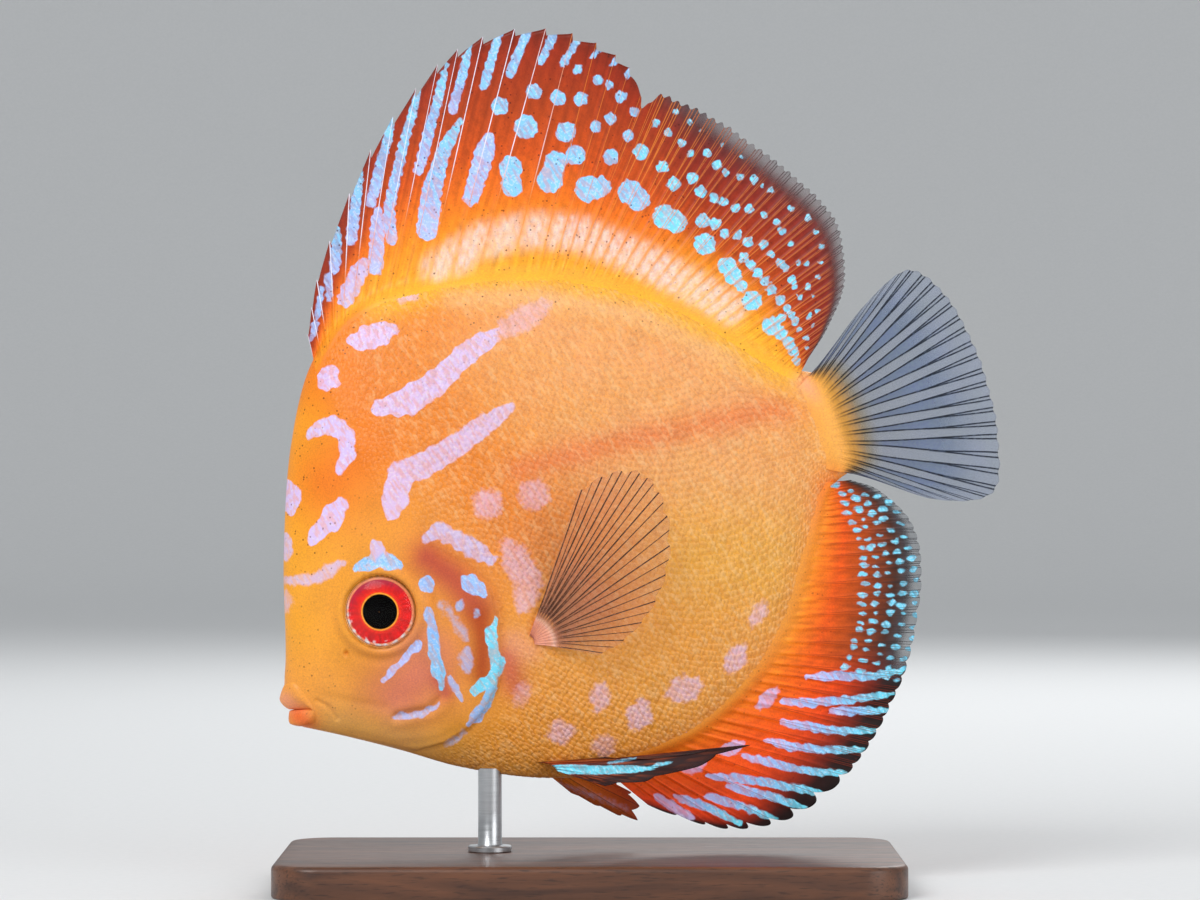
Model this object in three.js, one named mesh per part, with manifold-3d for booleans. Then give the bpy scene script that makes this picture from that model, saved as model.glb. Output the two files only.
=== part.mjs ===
// A discus fish as a life-size still model on a plain display stand.
// Millimetres, +Z up. The head points to -X and the fish's left side faces -Y.
// The origin is the middle of the underside of the stand's base.
// The fish is drawn level in its own frame: x runs back from the snout, z up, y across,
// and the whole of it is then pitched head down.
import * as THREE from 'three'
import Module from 'manifold-3d'
import { mergeVertices } from 'three/addons/utils/BufferGeometryUtils.js'

const wasm = await Module()
wasm.setup()

// Pose
const pitchDeg = 20
const snout = [-64.5, 0, 37.8]
const gap = 0.3

// Body, measured back from the snout: distance, back edge, belly edge, half width
const fleshLength = 129
const bodyProfile = [
  [0, 1.6, -4.6, 3.0],
  [3.6, 8.7, -6.7, 4.4],
  [10.4, 28.6, -11.0, 6.7],
  [19.7, 50.0, -17.3, 9.1],
  [30.4, 65.8, -25.0, 11.2],
  [45.4, 74.4, -32.9, 12.6],
  [60, 73.6, -36.9, 12.6],
  [82, 67.8, -36.0, 10.6],
  [98, 59.4, -28.8, 8.1],
  [110, 48.8, -17.0, 6.0],
  [118, 38.4, -5.6, 4.8],
  [124, 30.6, 3.2, 4.0],
  [129, 27.4, 5.4, 3.4],
]
const noseRound = 2.8
const noseHeight = -1.5
const sectionPower = 2.1
const sectionEdge = 0.6
const waistHead = 0.4
const waistTrunk = 0.5
const waistReach = 60
const ringSides = 38
const headRings = 24
const trunkRings = 24

// Thin cuts that part the body
const gillCut = [
  [0, 24, 80],
  [1, 31.5, 60],
  [2, 39, 42],
  [3, 45.3, 22.5],
  [4, 48.9, 8],
  [5, 48.3, -4],
  [6, 43.6, -12.5],
  [7, 36, -18.6],
  [8, 29, -21.5],
  [9, 20, -30],
]
const cutSteps = 4
const peduncleStart = 112
const halfSpan = 40

// Head
const coverRise = 0.8
const coverCentre = -1
const coverHalfHeight = 20
const coverFront = 27
const coverRear = 46
const eyeCentre = [26.4, 11.6]
const eyeRadius = 7.2
const eyeDepth = 4.2
const eyeDome = 3
const eyeSink = 0.9
const nostrilCentre = [16.6, 5.8]
const nostrilRadius = 0.7
const lipRadius = 1.35
const upperLip = [[6.2, 4.6, -2.3], [3.6, 4.0, -1.1], [1.4, 2.6, -0.1], [0.9, 0, 0.1]]
const lowerLip = [[6.2, 4.4, -3.3], [4.2, 3.8, -3.4], [2.4, 2.4, -3.3], [1.9, 0, -3.3]]
const mouthLine = { centre: [4.9, -1.9], radius: 5.6, height: 0.5, slopeDeg: -12 }

// Fins: rows of base and tip points, both as distance back and height.
// A ray is a ridge on both faces of the membrane, and scallop is how far, as a share
// of a ray's length, the membrane falls back between the ray tips.
const finHalf = 0.27
const ridgeFoot = 0.2
const spineRise = 0.5
const rayRise = 0.36
const fineRise = 0.3
const spinyDorsal = {
  rays: 9,
  rows: 6,
  pairs: [
    [30.6, 63.6, 31.5, 71.5],
    [35.5, 68.2, 39.2, 84.3],
    [41.3, 71.4, 56.3, 102.6],
    [48.0, 72.7, 72.6, 113.6],
    [57.0, 72.2, 86.0, 118.0],
    [69.6, 70.1, 101.5, 114.6],
    [81.0, 66.6, 111.6, 106.4],
    [87.6, 64.0, 116.2, 97.4],
  ],
  scallop: 0.07,
}
const softDorsal = {
  rays: 13,
  rows: 6,
  pairs: [
    [88.3, 63.6, 117.0, 96.4],
    [96.0, 58.8, 128.5, 84.2],
    [104.5, 52.6, 138.0, 70.0],
    [111.5, 45.4, 144.0, 56.4],
    [117.5, 37.4, 141.6, 43.8],
    [122.0, 31.4, 135.0, 35.6],
    [125.8, 28.2, 128.6, 30.6],
  ],
  scallop: 0.02,
}
const spinyAnal = {
  rays: 6,
  rows: 5,
  pairs: [
    [58.6, -35.4, 65.4, -46.8],
    [61.9, -35.5, 76.0, -55.0],
    [65.6, -35.6, 84.6, -58.4],
    [70.2, -35.5, 94.0, -58.8],
  ],
  scallop: 0.07,
}
const softAnal = {
  rays: 14,
  rows: 6,
  pairs: [
    [71.4, -35.5, 95.4, -58.6],
    [79.3, -34.6, 106.4, -54.4],
    [91.4, -30.1, 117.4, -46.5],
    [100.9, -23.9, 127.4, -35.6],
    [110.4, -13.4, 135.2, -20.8],
    [117.7, -3.1, 137.2, -9.4],
    [121.6, 2.0, 133.2, -0.6],
    [124.4, 4.6, 128.4, 3.6],
  ],
  scallop: 0.04,
}
const caudal = {
  rays: 13,
  rows: 5,
  pairs: [
    [127, 27.0, 131.6, 29.4],
    [127, 25.4, 144.0, 37.4],
    [127, 23.4, 155.2, 41.2],
    [127, 21.0, 160.6, 33.4],
    [127, 18.4, 162.4, 23.0],
    [127, 15.8, 162.3, 12.0],
    [127, 13.0, 160.6, 2.0],
    [127, 10.4, 155.6, -9.0],
    [127, 8.0, 144.0, -6.6],
    [127, 5.8, 131.6, 3.2],
  ],
  scallop: 0.02,
}
const pectoral = {
  rays: 10,
  rows: 5,
  root: [53.4, -4.9],
  rootReach: 1.5,
  fan: [[52, 33], [44, 39.5], [36, 42.4], [27, 40.8], [14, 35.4], [0, 28.6], [-14, 21.8], [-30, 14.6]],
  spread: 0.42,
  cup: 3,
  rootSink: 1.6,
  scallop: 0.03,
}
const pelvicScallop = 0.12
const pelvic = {
  left: {
    rays: 5,
    rows: 6,
    pairs: [
      [46.4, -29.4, 60.0, -33.0],
      [47.6, -30.0, 74.0, -38.0],
      [48.8, -30.8, 89.4, -41.0],
      [49.4, -31.6, 73.0, -41.6],
      [49.6, -32.4, 58.0, -38.6],
    ],
    side: -3.6,
    drift: -4.4,
  },
  right: {
    rays: 5,
    rows: 6,
    pairs: [
      [50.0, -30.4, 60.0, -39.6],
      [49.2, -31.0, 63.0, -44.2],
      [48.2, -31.6, 61.6, -48.8],
      [47.2, -31.6, 56.0, -44.5],
      [46.2, -31.4, 50.3, -38.6],
    ],
    side: 3.2,
    drift: 4.6,
  },
}

// Stand
const baseSize = [130, 80, 7]
const baseCorner = 10
const baseBevel = 1
const rodRadius = 2.5
const rodPlace = -21
const rodTop = 34

// Colours
const colours = {
  face: '#d9782a',
  flank: '#e8923c',
  tailRoot: '#eeb060',
  fin: '#b8531c',
  finTail: '#8f9fa6',
  finClear: '#c9b9a4',
  eye: '#a80a0c',
  wood: '#4a2f1f',
  steel: '#b9bcc0',
}

const clamp = (value, low = 0, high = 1) => Math.min(Math.max(value, low), high)
const mix = (a, b, f) => a + (b - a) * f
const ease = (f) => clamp(f) ** 2 * (3 - 2 * clamp(f))
const radians = THREE.MathUtils.degToRad

// Smooth curve through rows of numbers, whose first number is the parameter.
// Between two rows it is the cubic whose end slopes are those of the neighbouring rows.
function smooth(rows) {
  const last = rows.length - 1
  const slope = (i, k) => {
    const before = rows[Math.max(i - 1, 0)]
    const after = rows[Math.min(i + 1, last)]
    return (after[k] - before[k]) / (after[0] - before[0])
  }
  return (x) => {
    let i = 0
    while (i < last - 1 && x > rows[i + 1][0]) i += 1
    const span = rows[i + 1][0] - rows[i][0]
    const f = clamp((x - rows[i][0]) / span)
    return rows[i].slice(1).map((start, j) => {
      const k = j + 1
      const end = rows[i + 1][k]
      const rise = slope(i, k) * span
      const fall = slope(i + 1, k) * span
      return start + f * (rise + f * (3 * (end - start) - 2 * rise - fall
        + f * (2 * (start - end) + rise + fall)))
    })
  }
}

// Closed solid for joining and cutting, from any closed geometry.
function solid(geometry) {
  const bare = geometry.clone()
  bare.deleteAttribute('normal')
  bare.deleteAttribute('uv')
  const merged = mergeVertices(bare, 1e-4)
  return new wasm.Manifold(new wasm.Mesh({
    numProp: 3,
    vertProperties: new Float32Array(merged.attributes.position.array),
    triVerts: new Uint32Array(merged.index.array),
  }))
}

// The largest closed surface of a solid, as a geometry.
function largest(shape) {
  const pieces = shape.decompose().sort((a, b) => b.volume() - a.volume())
  const mesh = pieces[0].getMesh()
  const geometry = new THREE.BufferGeometry()
  geometry.setAttribute('position', new THREE.BufferAttribute(new Float32Array(mesh.vertProperties), 3))
  geometry.setIndex(Array.from(mesh.triVerts))
  return geometry
}

// Body surface
const profile = smooth(bodyProfile)

// Edges, widest height and half width of the section at a distance back from the snout.
function section(back) {
  const [top, bottom, half] = profile(clamp(back, 0, fleshLength))
  const nose = back < noseRound ? Math.sqrt(clamp(1 - (1 - back / noseRound) ** 2)) : 1
  const waist = mix(waistHead, waistTrunk, ease(back / waistReach))
  const roundTop = mix(noseHeight, top, nose)
  const roundBottom = mix(noseHeight, bottom, nose)
  return { top: roundTop, bottom: roundBottom, waist: mix(roundBottom, roundTop, waist), half: half * nose }
}

// Half width of the body at a distance back and a height.
function halfWidth(back, height) {
  const { top, bottom, waist, half } = section(back)
  const reach = height > waist ? top - waist : waist - bottom
  return half * clamp(1 - clamp(Math.abs(height - waist) / reach) ** sectionPower) ** sectionEdge
}

// How far the gill cover stands out of the flank, most at its rear edge.
function coverLift(back, height) {
  const across = clamp(1 - ((height - coverCentre) / coverHalfHeight) ** 2)
  return coverRise * Math.sqrt(across) * ease((back - coverFront) / (coverRear - coverFront))
}

// Closed loft of rings from the nose to the root of the tail fin, grown by a margin.
function bodySolid(grow, lift) {
  const backs = []
  for (let i = 1; i <= headRings; i += 1) backs.push(50 * (i / headRings) ** 1.35)
  for (let i = 1; i <= trunkRings; i += 1) backs.push(mix(50, fleshLength, i / trunkRings))
  const points = [-grow, 0, noseHeight]
  backs.forEach((back, i) => {
    const { top, bottom, waist, half } = section(back)
    const place = i === backs.length - 1 ? back + grow : back
    for (let k = 0; k < ringSides; k += 1) {
      const angle = (2 * Math.PI * k) / ringSides
      const up = Math.sin(angle)
      const height = waist + up * (up > 0 ? top - waist + grow : waist - bottom + grow)
      const bulge = clamp(1 - Math.abs(up) ** sectionPower) ** sectionEdge
      const out = (half + grow) * bulge + lift * coverLift(back, height) * ease(4 * bulge)
      points.push(place, Math.sign(Math.cos(angle)) * out * (Math.abs(Math.cos(angle)) > 1e-9 ? 1 : 0), height)
    }
  })
  const end = points.length / 3
  points.push(fleshLength + grow, 0, section(fleshLength).waist)
  const index = []
  for (let k = 0; k < ringSides; k += 1) {
    const next = (k + 1) % ringSides
    index.push(0, 1 + next, 1 + k)
    for (let i = 0; i < backs.length - 1; i += 1) {
      const [a, b] = [1 + i * ringSides + k, 1 + i * ringSides + next]
      index.push(a, b, b + ringSides, a, b + ringSides, a + ringSides)
    }
    const lastRing = 1 + (backs.length - 1) * ringSides
    index.push(lastRing + k, lastRing + next, end)
  }
  const geometry = new THREE.BufferGeometry()
  geometry.setAttribute('position', new THREE.Float32BufferAttribute(points, 3))
  geometry.setIndex(index)
  return solid(geometry)
}

// Slab of an outline in the side view, right through the fish.
function sideSlab(outline) {
  const geometry = new THREE.ExtrudeGeometry(new THREE.Shape(outline), { depth: 2 * halfSpan, bevelEnabled: false })
  geometry.rotateX(Math.PI / 2)
  geometry.translate(0, halfSpan, 0)
  return solid(geometry)
}

// Everything ahead of the cut behind the gill cover, with the cut moved back by a margin.
function headSlab(grow) {
  const curve = smooth(gillCut)
  const steps = (gillCut.length - 1) * cutSteps
  const edge = []
  for (let i = 0; i <= steps; i += 1) {
    const [x, z] = curve(i / cutSteps)
    const [ax, az] = curve(Math.max(i - 0.5, 0) / cutSteps)
    const [bx, bz] = curve(Math.min(i + 0.5, steps) / cutSteps)
    const length = Math.hypot(bx - ax, bz - az)
    edge.push(new THREE.Vector2(x - (grow * (bz - az)) / length, z + (grow * (bx - ax)) / length))
  }
  edge.push(new THREE.Vector2(-20, -60), new THREE.Vector2(-20, 100))
  return sideSlab(edge)
}

// Everything behind the cut at the root of the tail.
function tailSlab(start) {
  const corners = [[start, -80], [fleshLength + 20, -80], [fleshLength + 20, 120], [start, 120]]
  return sideSlab(corners.map(([x, z]) => new THREE.Vector2(x, z)))
}

// Flattened eyeball on the Y axis, its dome outwards on the side that is asked for.
function eyeball(side, grow) {
  const steps = 5
  const outline = []
  for (let i = 0; i <= 2 * steps; i += 1) {
    const angle = (Math.PI * i) / (2 * steps) - Math.PI / 2
    const depth = (angle < 0 ? eyeDepth : eyeDome) + grow
    const radius = i % (2 * steps) === 0 ? 0 : (eyeRadius + grow) * Math.cos(angle)
    outline.push(new THREE.Vector2(radius, depth * Math.sin(angle)))
  }
  const geometry = new THREE.LatheGeometry(outline, 20)
  geometry.rotateX(side > 0 ? 0 : Math.PI)
  const place = halfWidth(...eyeCentre) - eyeSink
  geometry.translate(eyeCentre[0], side * place, eyeCentre[1])
  return geometry
}

// One lip: a round roll from corner to corner of the mouth.
function lip(points) {
  const mirrored = points.slice(0, -1).reverse().map(([x, y, z]) => [x, -y, z])
  const path = new THREE.CatmullRomCurve3([...points, ...mirrored].map((p) => new THREE.Vector3(...p)))
  const round = new THREE.Shape().absarc(0, 0, lipRadius, 0, 2 * Math.PI)
  return solid(new THREE.ExtrudeGeometry(round, { steps: 12, curveSegments: 4, extrudePath: path }))
}

function headGeometry() {
  const line = new THREE.CylinderGeometry(mouthLine.radius, mouthLine.radius, mouthLine.height, 24)
  line.rotateX(Math.PI / 2)
  line.rotateY(radians(-mouthLine.slopeDeg))
  line.translate(mouthLine.centre[0], 0, mouthLine.centre[1])
  let shape = bodySolid(0, 1).intersect(headSlab(0)).add(lip(upperLip)).add(lip(lowerLip)).subtract(solid(line))
  for (const side of [-1, 1]) {
    const nostril = new THREE.SphereGeometry(nostrilRadius, 8, 6)
    nostril.translate(nostrilCentre[0], side * halfWidth(...nostrilCentre), nostrilCentre[1])
    shape = shape.subtract(solid(eyeball(side, gap))).subtract(solid(nostril))
  }
  return largest(shape)
}

// Fins

// Columns of a fin's sheet. Each ray has a crest between two feet, with the middle of the
// membrane between rays where it falls back. crest is 1 on a ray, fall is how far in the tip lies.
function finColumns(rays, scallop, middles) {
  const pitch = 1 / (rays - 1)
  const columns = []
  for (let i = 0; i < rays; i += 1) {
    const u = i * pitch
    if (i > 0) columns.push({ u: u - ridgeFoot * pitch, crest: 0, fall: scallop * 0.6 })
    columns.push({ u, crest: 1, fall: 0 })
    if (i === rays - 1) continue
    columns.push({ u: u + ridgeFoot * pitch, crest: 0, fall: scallop * 0.6 })
    if (middles) columns.push({ u: u + pitch / 2, crest: 0, fall: scallop })
  }
  return columns
}

// Half thickness of a fin: its fleshy root, then the membrane, with the ray tapering along it.
function finThickness(rootHalf, rootShare, rise, crest, v) {
  const membrane = mix(rootHalf, finHalf, clamp(v / rootShare) ** 0.6)
  return membrane + crest * rise * (1 - 0.75 * v)
}

// Closed sheet of a fin. place(u, v) is its mid surface, u along the fin and v from root to tip,
// and thick(crest, v) is its half thickness. Both faces are split into triangles alike.
function finSheet({ columns, rows, place, thick }) {
  const points = []
  for (const side of [1, -1]) {
    for (const { u, crest, fall } of columns) {
      for (let j = 0; j <= rows; j += 1) {
        const v = (j / rows) * (1 - fall)
        const [x, y, z] = place(u, v)
        points.push(x, y + side * thick(crest, v), z)
      }
    }
  }
  const index = []
  const across = rows + 1
  const far = columns.length * across
  const quad = (a, b, c, d) => index.push(a, b, c, a, c, d)
  for (let i = 0; i < columns.length - 1; i += 1) {
    for (let j = 0; j < rows; j += 1) {
      const a = i * across + j
      index.push(a, a + across, a + across + 1, a, a + across + 1, a + 1)
      index.push(far + a, far + a + across + 1, far + a + across)
      index.push(far + a, far + a + 1, far + a + across + 1)
    }
    const [root, tip] = [i * across, i * across + rows]
    quad(root, far + root, far + root + across, root + across)
    quad(tip, tip + across, far + tip + across, far + tip)
  }
  for (let j = 0; j < rows; j += 1) {
    const lastColumn = (columns.length - 1) * across
    quad(j, j + 1, far + j + 1, far + j)
    quad(lastColumn + j, far + lastColumn + j, far + lastColumn + j + 1, lastColumn + j + 1)
  }
  const geometry = new THREE.BufferGeometry()
  geometry.setAttribute('position', new THREE.Float32BufferAttribute(points, 3))
  geometry.setIndex(index)
  const shape = solid(geometry)
  if (shape.volume() > 0) return shape
  const flipped = []
  for (let i = 0; i < index.length; i += 3) flipped.push(index[i], index[i + 2], index[i + 1])
  geometry.setIndex(flipped)
  return solid(geometry)
}

// A fin in the fish's middle plane, thick at its root and thin at its margin.
function middleFin({ rays, rows, pairs, scallop }, { rootHalf, rise, wave, waves, middles }) {
  const curve = smooth(pairs.map((pair, i) => [i / (pairs.length - 1), ...pair]))
  return finSheet({
    columns: finColumns(rays, scallop, middles),
    rows,
    place: (u, v) => {
      const [x0, z0, x1, z1] = curve(u)
      return [mix(x0, x1, v), wave * v * v * Math.sin(Math.PI * waves * u), mix(z0, z1, v)]
    },
    thick: (crest, v) => finThickness(rootHalf, 0.45, rise, crest, v),
  })
}

// A pectoral fin: a fan that spreads up, back and out from the flank.
function pectoralFin(side) {
  const curve = smooth(pectoral.fan.map(([angle, reach], i) => [i / (pectoral.fan.length - 1), angle, reach]))
  const rootY = halfWidth(...pectoral.root) - pectoral.rootSink
  return finSheet({
    columns: finColumns(pectoral.rays, pectoral.scallop, false),
    rows: pectoral.rows,
    place: (u, v) => {
      const [angle, reach] = curve(u)
      const out = mix(pectoral.rootReach, reach, v)
      const x = pectoral.root[0] + out * Math.cos(radians(angle))
      const z = pectoral.root[1] + out * Math.sin(radians(angle))
      return [x, side * (rootY + pectoral.spread * out - pectoral.cup * v * v * (1 - 2 * Math.abs(u - 0.5))), z]
    },
    thick: (crest, v) => finThickness(1.1, 0.33, fineRise, crest, v),
  })
}

// A pelvic fin, whose middle ray is the longest.
function pelvicFin({ rays, rows, pairs, side, drift }) {
  const curve = smooth(pairs.map((pair, i) => [i / (pairs.length - 1), ...pair]))
  return finSheet({
    columns: finColumns(rays, pelvicScallop, true),
    rows,
    place: (u, v) => {
      const [x0, z0, x1, z1] = curve(u)
      return [mix(x0, x1, v), side + drift * v ** 0.5 + (u - 0.5) * 1.6 * Math.sign(side), mix(z0, z1, v)]
    },
    thick: (crest, v) => finThickness(1.0, 0.33, fineRise, crest, v),
  })
}

// Stand
function standBase() {
  const [length, depth, height] = baseSize
  const [x, y, r] = [length / 2 - baseBevel, depth / 2 - baseBevel, baseCorner]
  const outline = new THREE.Shape()
  outline.absarc(x - r, y - r, r, 0, Math.PI / 2)
  outline.absarc(r - x, y - r, r, Math.PI / 2, Math.PI)
  outline.absarc(r - x, r - y, r, Math.PI, 1.5 * Math.PI)
  outline.absarc(x - r, r - y, r, 1.5 * Math.PI, 2 * Math.PI)
  const geometry = new THREE.ExtrudeGeometry(outline, {
    depth: height - 2 * baseBevel,
    bevelThickness: baseBevel,
    bevelSize: baseBevel,
    bevelSegments: 1,
    curveSegments: 5,
  })
  geometry.translate(0, 0, baseBevel)
  return largest(solid(geometry))
}

function standRod(flesh) {
  const bottom = baseSize[2] + gap
  const geometry = new THREE.CylinderGeometry(rodRadius, rodRadius, rodTop - bottom, 20)
  geometry.rotateX(Math.PI / 2)
  geometry.translate(rodPlace, 0, (rodTop + bottom) / 2)
  return largest(solid(geometry).subtract(flesh))
}

// Assembly
const group = new THREE.Group()
const fish = new THREE.Group()
fish.position.set(...snout)
fish.rotation.y = -radians(pitchDeg)
fish.updateMatrix()
group.add(fish)

function addNode(parent, name, geometry, colour, roughness, metalness = 0) {
  geometry.computeVertexNormals()
  const material = new THREE.MeshStandardMaterial({ color: colour, roughness, metalness })
  const mesh = new THREE.Mesh(geometry, material)
  mesh.name = name
  parent.add(mesh)
}

const flesh = bodySolid(0, 0)
const fleshClear = bodySolid(gap, 0)
const headClear = headSlab(gap)
const trunk = flesh.subtract(headClear).subtract(tailSlab(peduncleStart))
addNode(fish, 'head', headGeometry(), colours.face, 0.4)
addNode(fish, 'trunk', largest(trunk), colours.flank, 0.4)
addNode(fish, 'peduncle', largest(flesh.intersect(tailSlab(peduncleStart + gap))), colours.tailRoot, 0.4)

const middleFins = {
  dorsal_fin_spines: [spinyDorsal, { rootHalf: 1.7, rise: spineRise, wave: 0.8, waves: 1.6, middles: true }],
  dorsal_fin_soft: [softDorsal, { rootHalf: 1.5, rise: rayRise, wave: 2.2, waves: 2.4 }],
  anal_fin_spines: [spinyAnal, { rootHalf: 1.6, rise: spineRise, wave: 0.6, waves: 1, middles: true }],
  anal_fin_soft: [softAnal, { rootHalf: 1.5, rise: rayRise, wave: 2.0, waves: 2.4 }],
  caudal_fin: [caudal, { rootHalf: 2.2, rise: rayRise, wave: 1.8, waves: 2 }],
}
for (const [name, [shape, form]] of Object.entries(middleFins)) {
  const colour = name === 'caudal_fin' ? colours.finTail : colours.fin
  addNode(fish, name, largest(middleFin(shape, form).subtract(fleshClear)), colour, 0.35)
}

for (const [name, side] of [['left', -1], ['right', 1]]) {
  const paired = { pectoral: pectoralFin(side), pelvic: pelvicFin(pelvic[name]) }
  addNode(fish, `eye_${name}`, eyeball(side, 0), colours.eye, 0.15)
  addNode(fish, `pectoral_fin_${name}`, largest(paired.pectoral.subtract(fleshClear)), colours.finClear, 0.3)
  addNode(fish, `pelvic_fin_${name}`, largest(paired.pelvic.subtract(fleshClear)), colours.fin, 0.35)
}

const place = fish.matrix.elements
const placedFlesh = fleshClear.transform(Array.from(place))
addNode(group, 'stand_base', standBase(), colours.wood, 0.45)
addNode(group, 'stand_rod', standRod(placedFlesh), colours.steel, 0.3, 1)

export default group
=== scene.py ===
import math
import bpy
import numpy as np
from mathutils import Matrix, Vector


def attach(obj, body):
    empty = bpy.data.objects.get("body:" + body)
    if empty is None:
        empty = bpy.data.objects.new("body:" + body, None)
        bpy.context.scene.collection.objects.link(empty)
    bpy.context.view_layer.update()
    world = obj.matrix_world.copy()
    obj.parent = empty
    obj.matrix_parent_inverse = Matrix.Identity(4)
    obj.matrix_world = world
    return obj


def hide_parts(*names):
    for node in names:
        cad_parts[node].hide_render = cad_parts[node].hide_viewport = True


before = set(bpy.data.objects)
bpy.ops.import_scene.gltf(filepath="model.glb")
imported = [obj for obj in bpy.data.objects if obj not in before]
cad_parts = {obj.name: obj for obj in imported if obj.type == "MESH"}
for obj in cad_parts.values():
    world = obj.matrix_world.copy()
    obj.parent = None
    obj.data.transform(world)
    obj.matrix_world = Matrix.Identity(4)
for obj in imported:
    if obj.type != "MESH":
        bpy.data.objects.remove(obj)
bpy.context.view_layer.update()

rng = np.random.default_rng(7)

pose = {
    "pitch": 20.0,                  # degrees, head down
    "snout": (-64.5, 0.0, 37.8),    # mm, place of the mouth above the middle of the stand
    "mouthPixel": (283.0, 705.0),   # the same point in the photo, in its 1200 x 900 frame
    "mmPerPixel": 0.21,
}
pitchCos = math.cos(math.radians(pose["pitch"]))
pitchSin = math.sin(math.radians(pose["pitch"]))


# Small tools

# Fish frame in mm to the row's frame in metres: a turn by the pitch and a shift.
def toRow(points):
    x, y, z = points[..., 0], points[..., 1], points[..., 2]
    out = np.stack([x * pitchCos - z * pitchSin, y, x * pitchSin + z * pitchCos], -1)
    return (out + np.array(pose["snout"])) * 0.001


# Fish frame to the photo's pixels, as seen square from the side.
def toPhoto(x, z):
    across = pose["mouthPixel"][0] + (x * pitchCos - z * pitchSin) / pose["mmPerPixel"]
    down = pose["mouthPixel"][1] - (x * pitchSin + z * pitchCos) / pose["mmPerPixel"]
    return across, down


# Hex colour as it looks on screen, turned to linear light.
def linear(code):
    value = np.array([int(code[i:i + 2], 16) for i in (1, 3, 5)]) / 255.0
    return np.where(value <= 0.04045, value / 12.92, ((value + 0.055) / 1.055) ** 2.4)


# 0 below the first edge, 1 above the second, and a cubic ease between.
def ease(low, high, value):
    f = np.clip((value - low) / (high - low), 0, 1)
    return f * f * (3 - 2 * f)


def mix(a, b, f):
    return a + (b - a) * f


# Curve through rows of numbers, the first being the parameter: between two rows it is
# the cubic whose end slopes are those of the neighbouring rows.
def smoothRows(rows):
    rows = np.array(rows, float)
    x, value = rows[:, 0], rows[:, 1:]
    last = len(x) - 1
    before = np.maximum(np.arange(last + 1) - 1, 0)
    after = np.minimum(np.arange(last + 1) + 1, last)
    slope = (value[after] - value[before]) / (x[after] - x[before])[:, None]

    def curve(at):
        at = np.clip(at, x[0], x[-1])
        i = np.clip(np.searchsorted(x, at) - 1, 0, last - 1)
        span = (x[i + 1] - x[i])[..., None]
        f = (at[..., None] - x[i][..., None]) / span
        start, end = value[i], value[i + 1]
        rise, fall = slope[i] * span, slope[i + 1] * span
        bend = 3 * (end - start) - 2 * rise - fall + f * (2 * (start - end) + rise + fall)
        return start + f * (rise + f * bend)
    return curve


# Rows of pairs get an even parameter from 0 to 1.
def evenRows(pairs):
    return smoothRows([[i / (len(pairs) - 1), *pair] for i, pair in enumerate(pairs)])


# Smooth noise of about -1 to 1 with a given grain in mm: a sum of a few tilted sine waves,
# brought down by the level that their sum seldom passes.
sineWaves = {"count": 7, "shortest": 0.7, "longest": 1.5, "level": 3.2}


def ripple(x, z, grain, seed):
    draw = np.random.default_rng(seed)
    total = np.zeros(np.broadcast(x, z).shape)
    for _ in range(sineWaves["count"]):
        angle, phase = draw.uniform(0, 2 * math.pi, 2).tolist()
        pitch = grain * draw.uniform(sineWaves["shortest"], sineWaves["longest"])
        run = x * math.cos(angle) + z * math.sin(angle)
        total = total + np.sin(run * 2 * math.pi / pitch + phase)
    return total / sineWaves["level"]


# Round ridge across a distance, as rise * exp(-((distance - place) / width)^2). It is a groove
# where its rise is negative.
def ridgeAt(gap, form):
    rise, place, width = form
    return rise * np.exp(-((gap - place) / width) ** 2)


# Distance in pixels from points to a chain of points, and how far along the chain, 0 to 1.
def chainDistance(across, down, chain):
    chain = np.array(chain, float)
    if len(chain) == 1:
        return np.hypot(across - chain[0, 0], down - chain[0, 1]), np.zeros(across.shape)
    lengths = np.hypot(*(chain[1:] - chain[:-1]).T)
    starts = np.concatenate([[0], np.cumsum(lengths)])
    best = np.full(across.shape, 1e9)
    along = np.zeros(across.shape)
    for i, length in enumerate(lengths):
        dx, dy = (chain[i + 1] - chain[i]) / length
        run = np.clip((across - chain[i, 0]) * dx + (down - chain[i, 1]) * dy, 0, length)
        gap = np.hypot(across - chain[i, 0] - run * dx, down - chain[i, 1] - run * dy)
        nearer = gap < best
        best = np.where(nearer, gap, best)
        along = np.where(nearer, (starts[i] + run) / starts[-1], along)
    return best, along


# Mesh from points in the fish's frame, or in the row's for the stand, with faces of any
# number of corners and named values at the points.
def makePiece(name, points, faces, values=None, inRow=False):
    mesh = bpy.data.meshes.new(name)
    flat = points.reshape(-1, 3)
    mesh.from_pydata(flat if inRow else toRow(flat), [], faces)
    for key, value in (values or {}).items():
        value = np.asarray(value, np.float32).reshape(len(flat), -1)
        if value.shape[1] == 1:
            mesh.attributes.new(key, "FLOAT", "POINT").data.foreach_set("value", value.ravel())
        else:
            colour = np.concatenate([value, np.ones((len(flat), 1), np.float32)], 1)
            mesh.attributes.new(key, "FLOAT_COLOR", "POINT").data.foreach_set("color", colour.ravel())
    mesh.polygons.foreach_set("use_smooth", np.full(len(mesh.polygons), True))
    mesh.update()
    piece = bpy.data.objects.new(name, mesh)
    bpy.context.scene.collection.objects.link(piece)
    return piece


# Quads of a grid of rows by columns, whose columns may close into a ring.
def gridFaces(rows, columns, ring=False, start=0):
    i = np.arange(rows - 1)[:, None] * columns
    j = np.arange(columns if ring else columns - 1)[None, :]
    k = (j + 1) % columns
    return start + np.stack([i + j, i + k, i + columns + k, i + columns + j], -1).reshape(-1, 4)


def dress(piece, material, slotName, *nodes):
    piece.data.materials.append(material)
    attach(piece, "root")
    if nodes:
        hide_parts(*nodes)
    return piece


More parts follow.
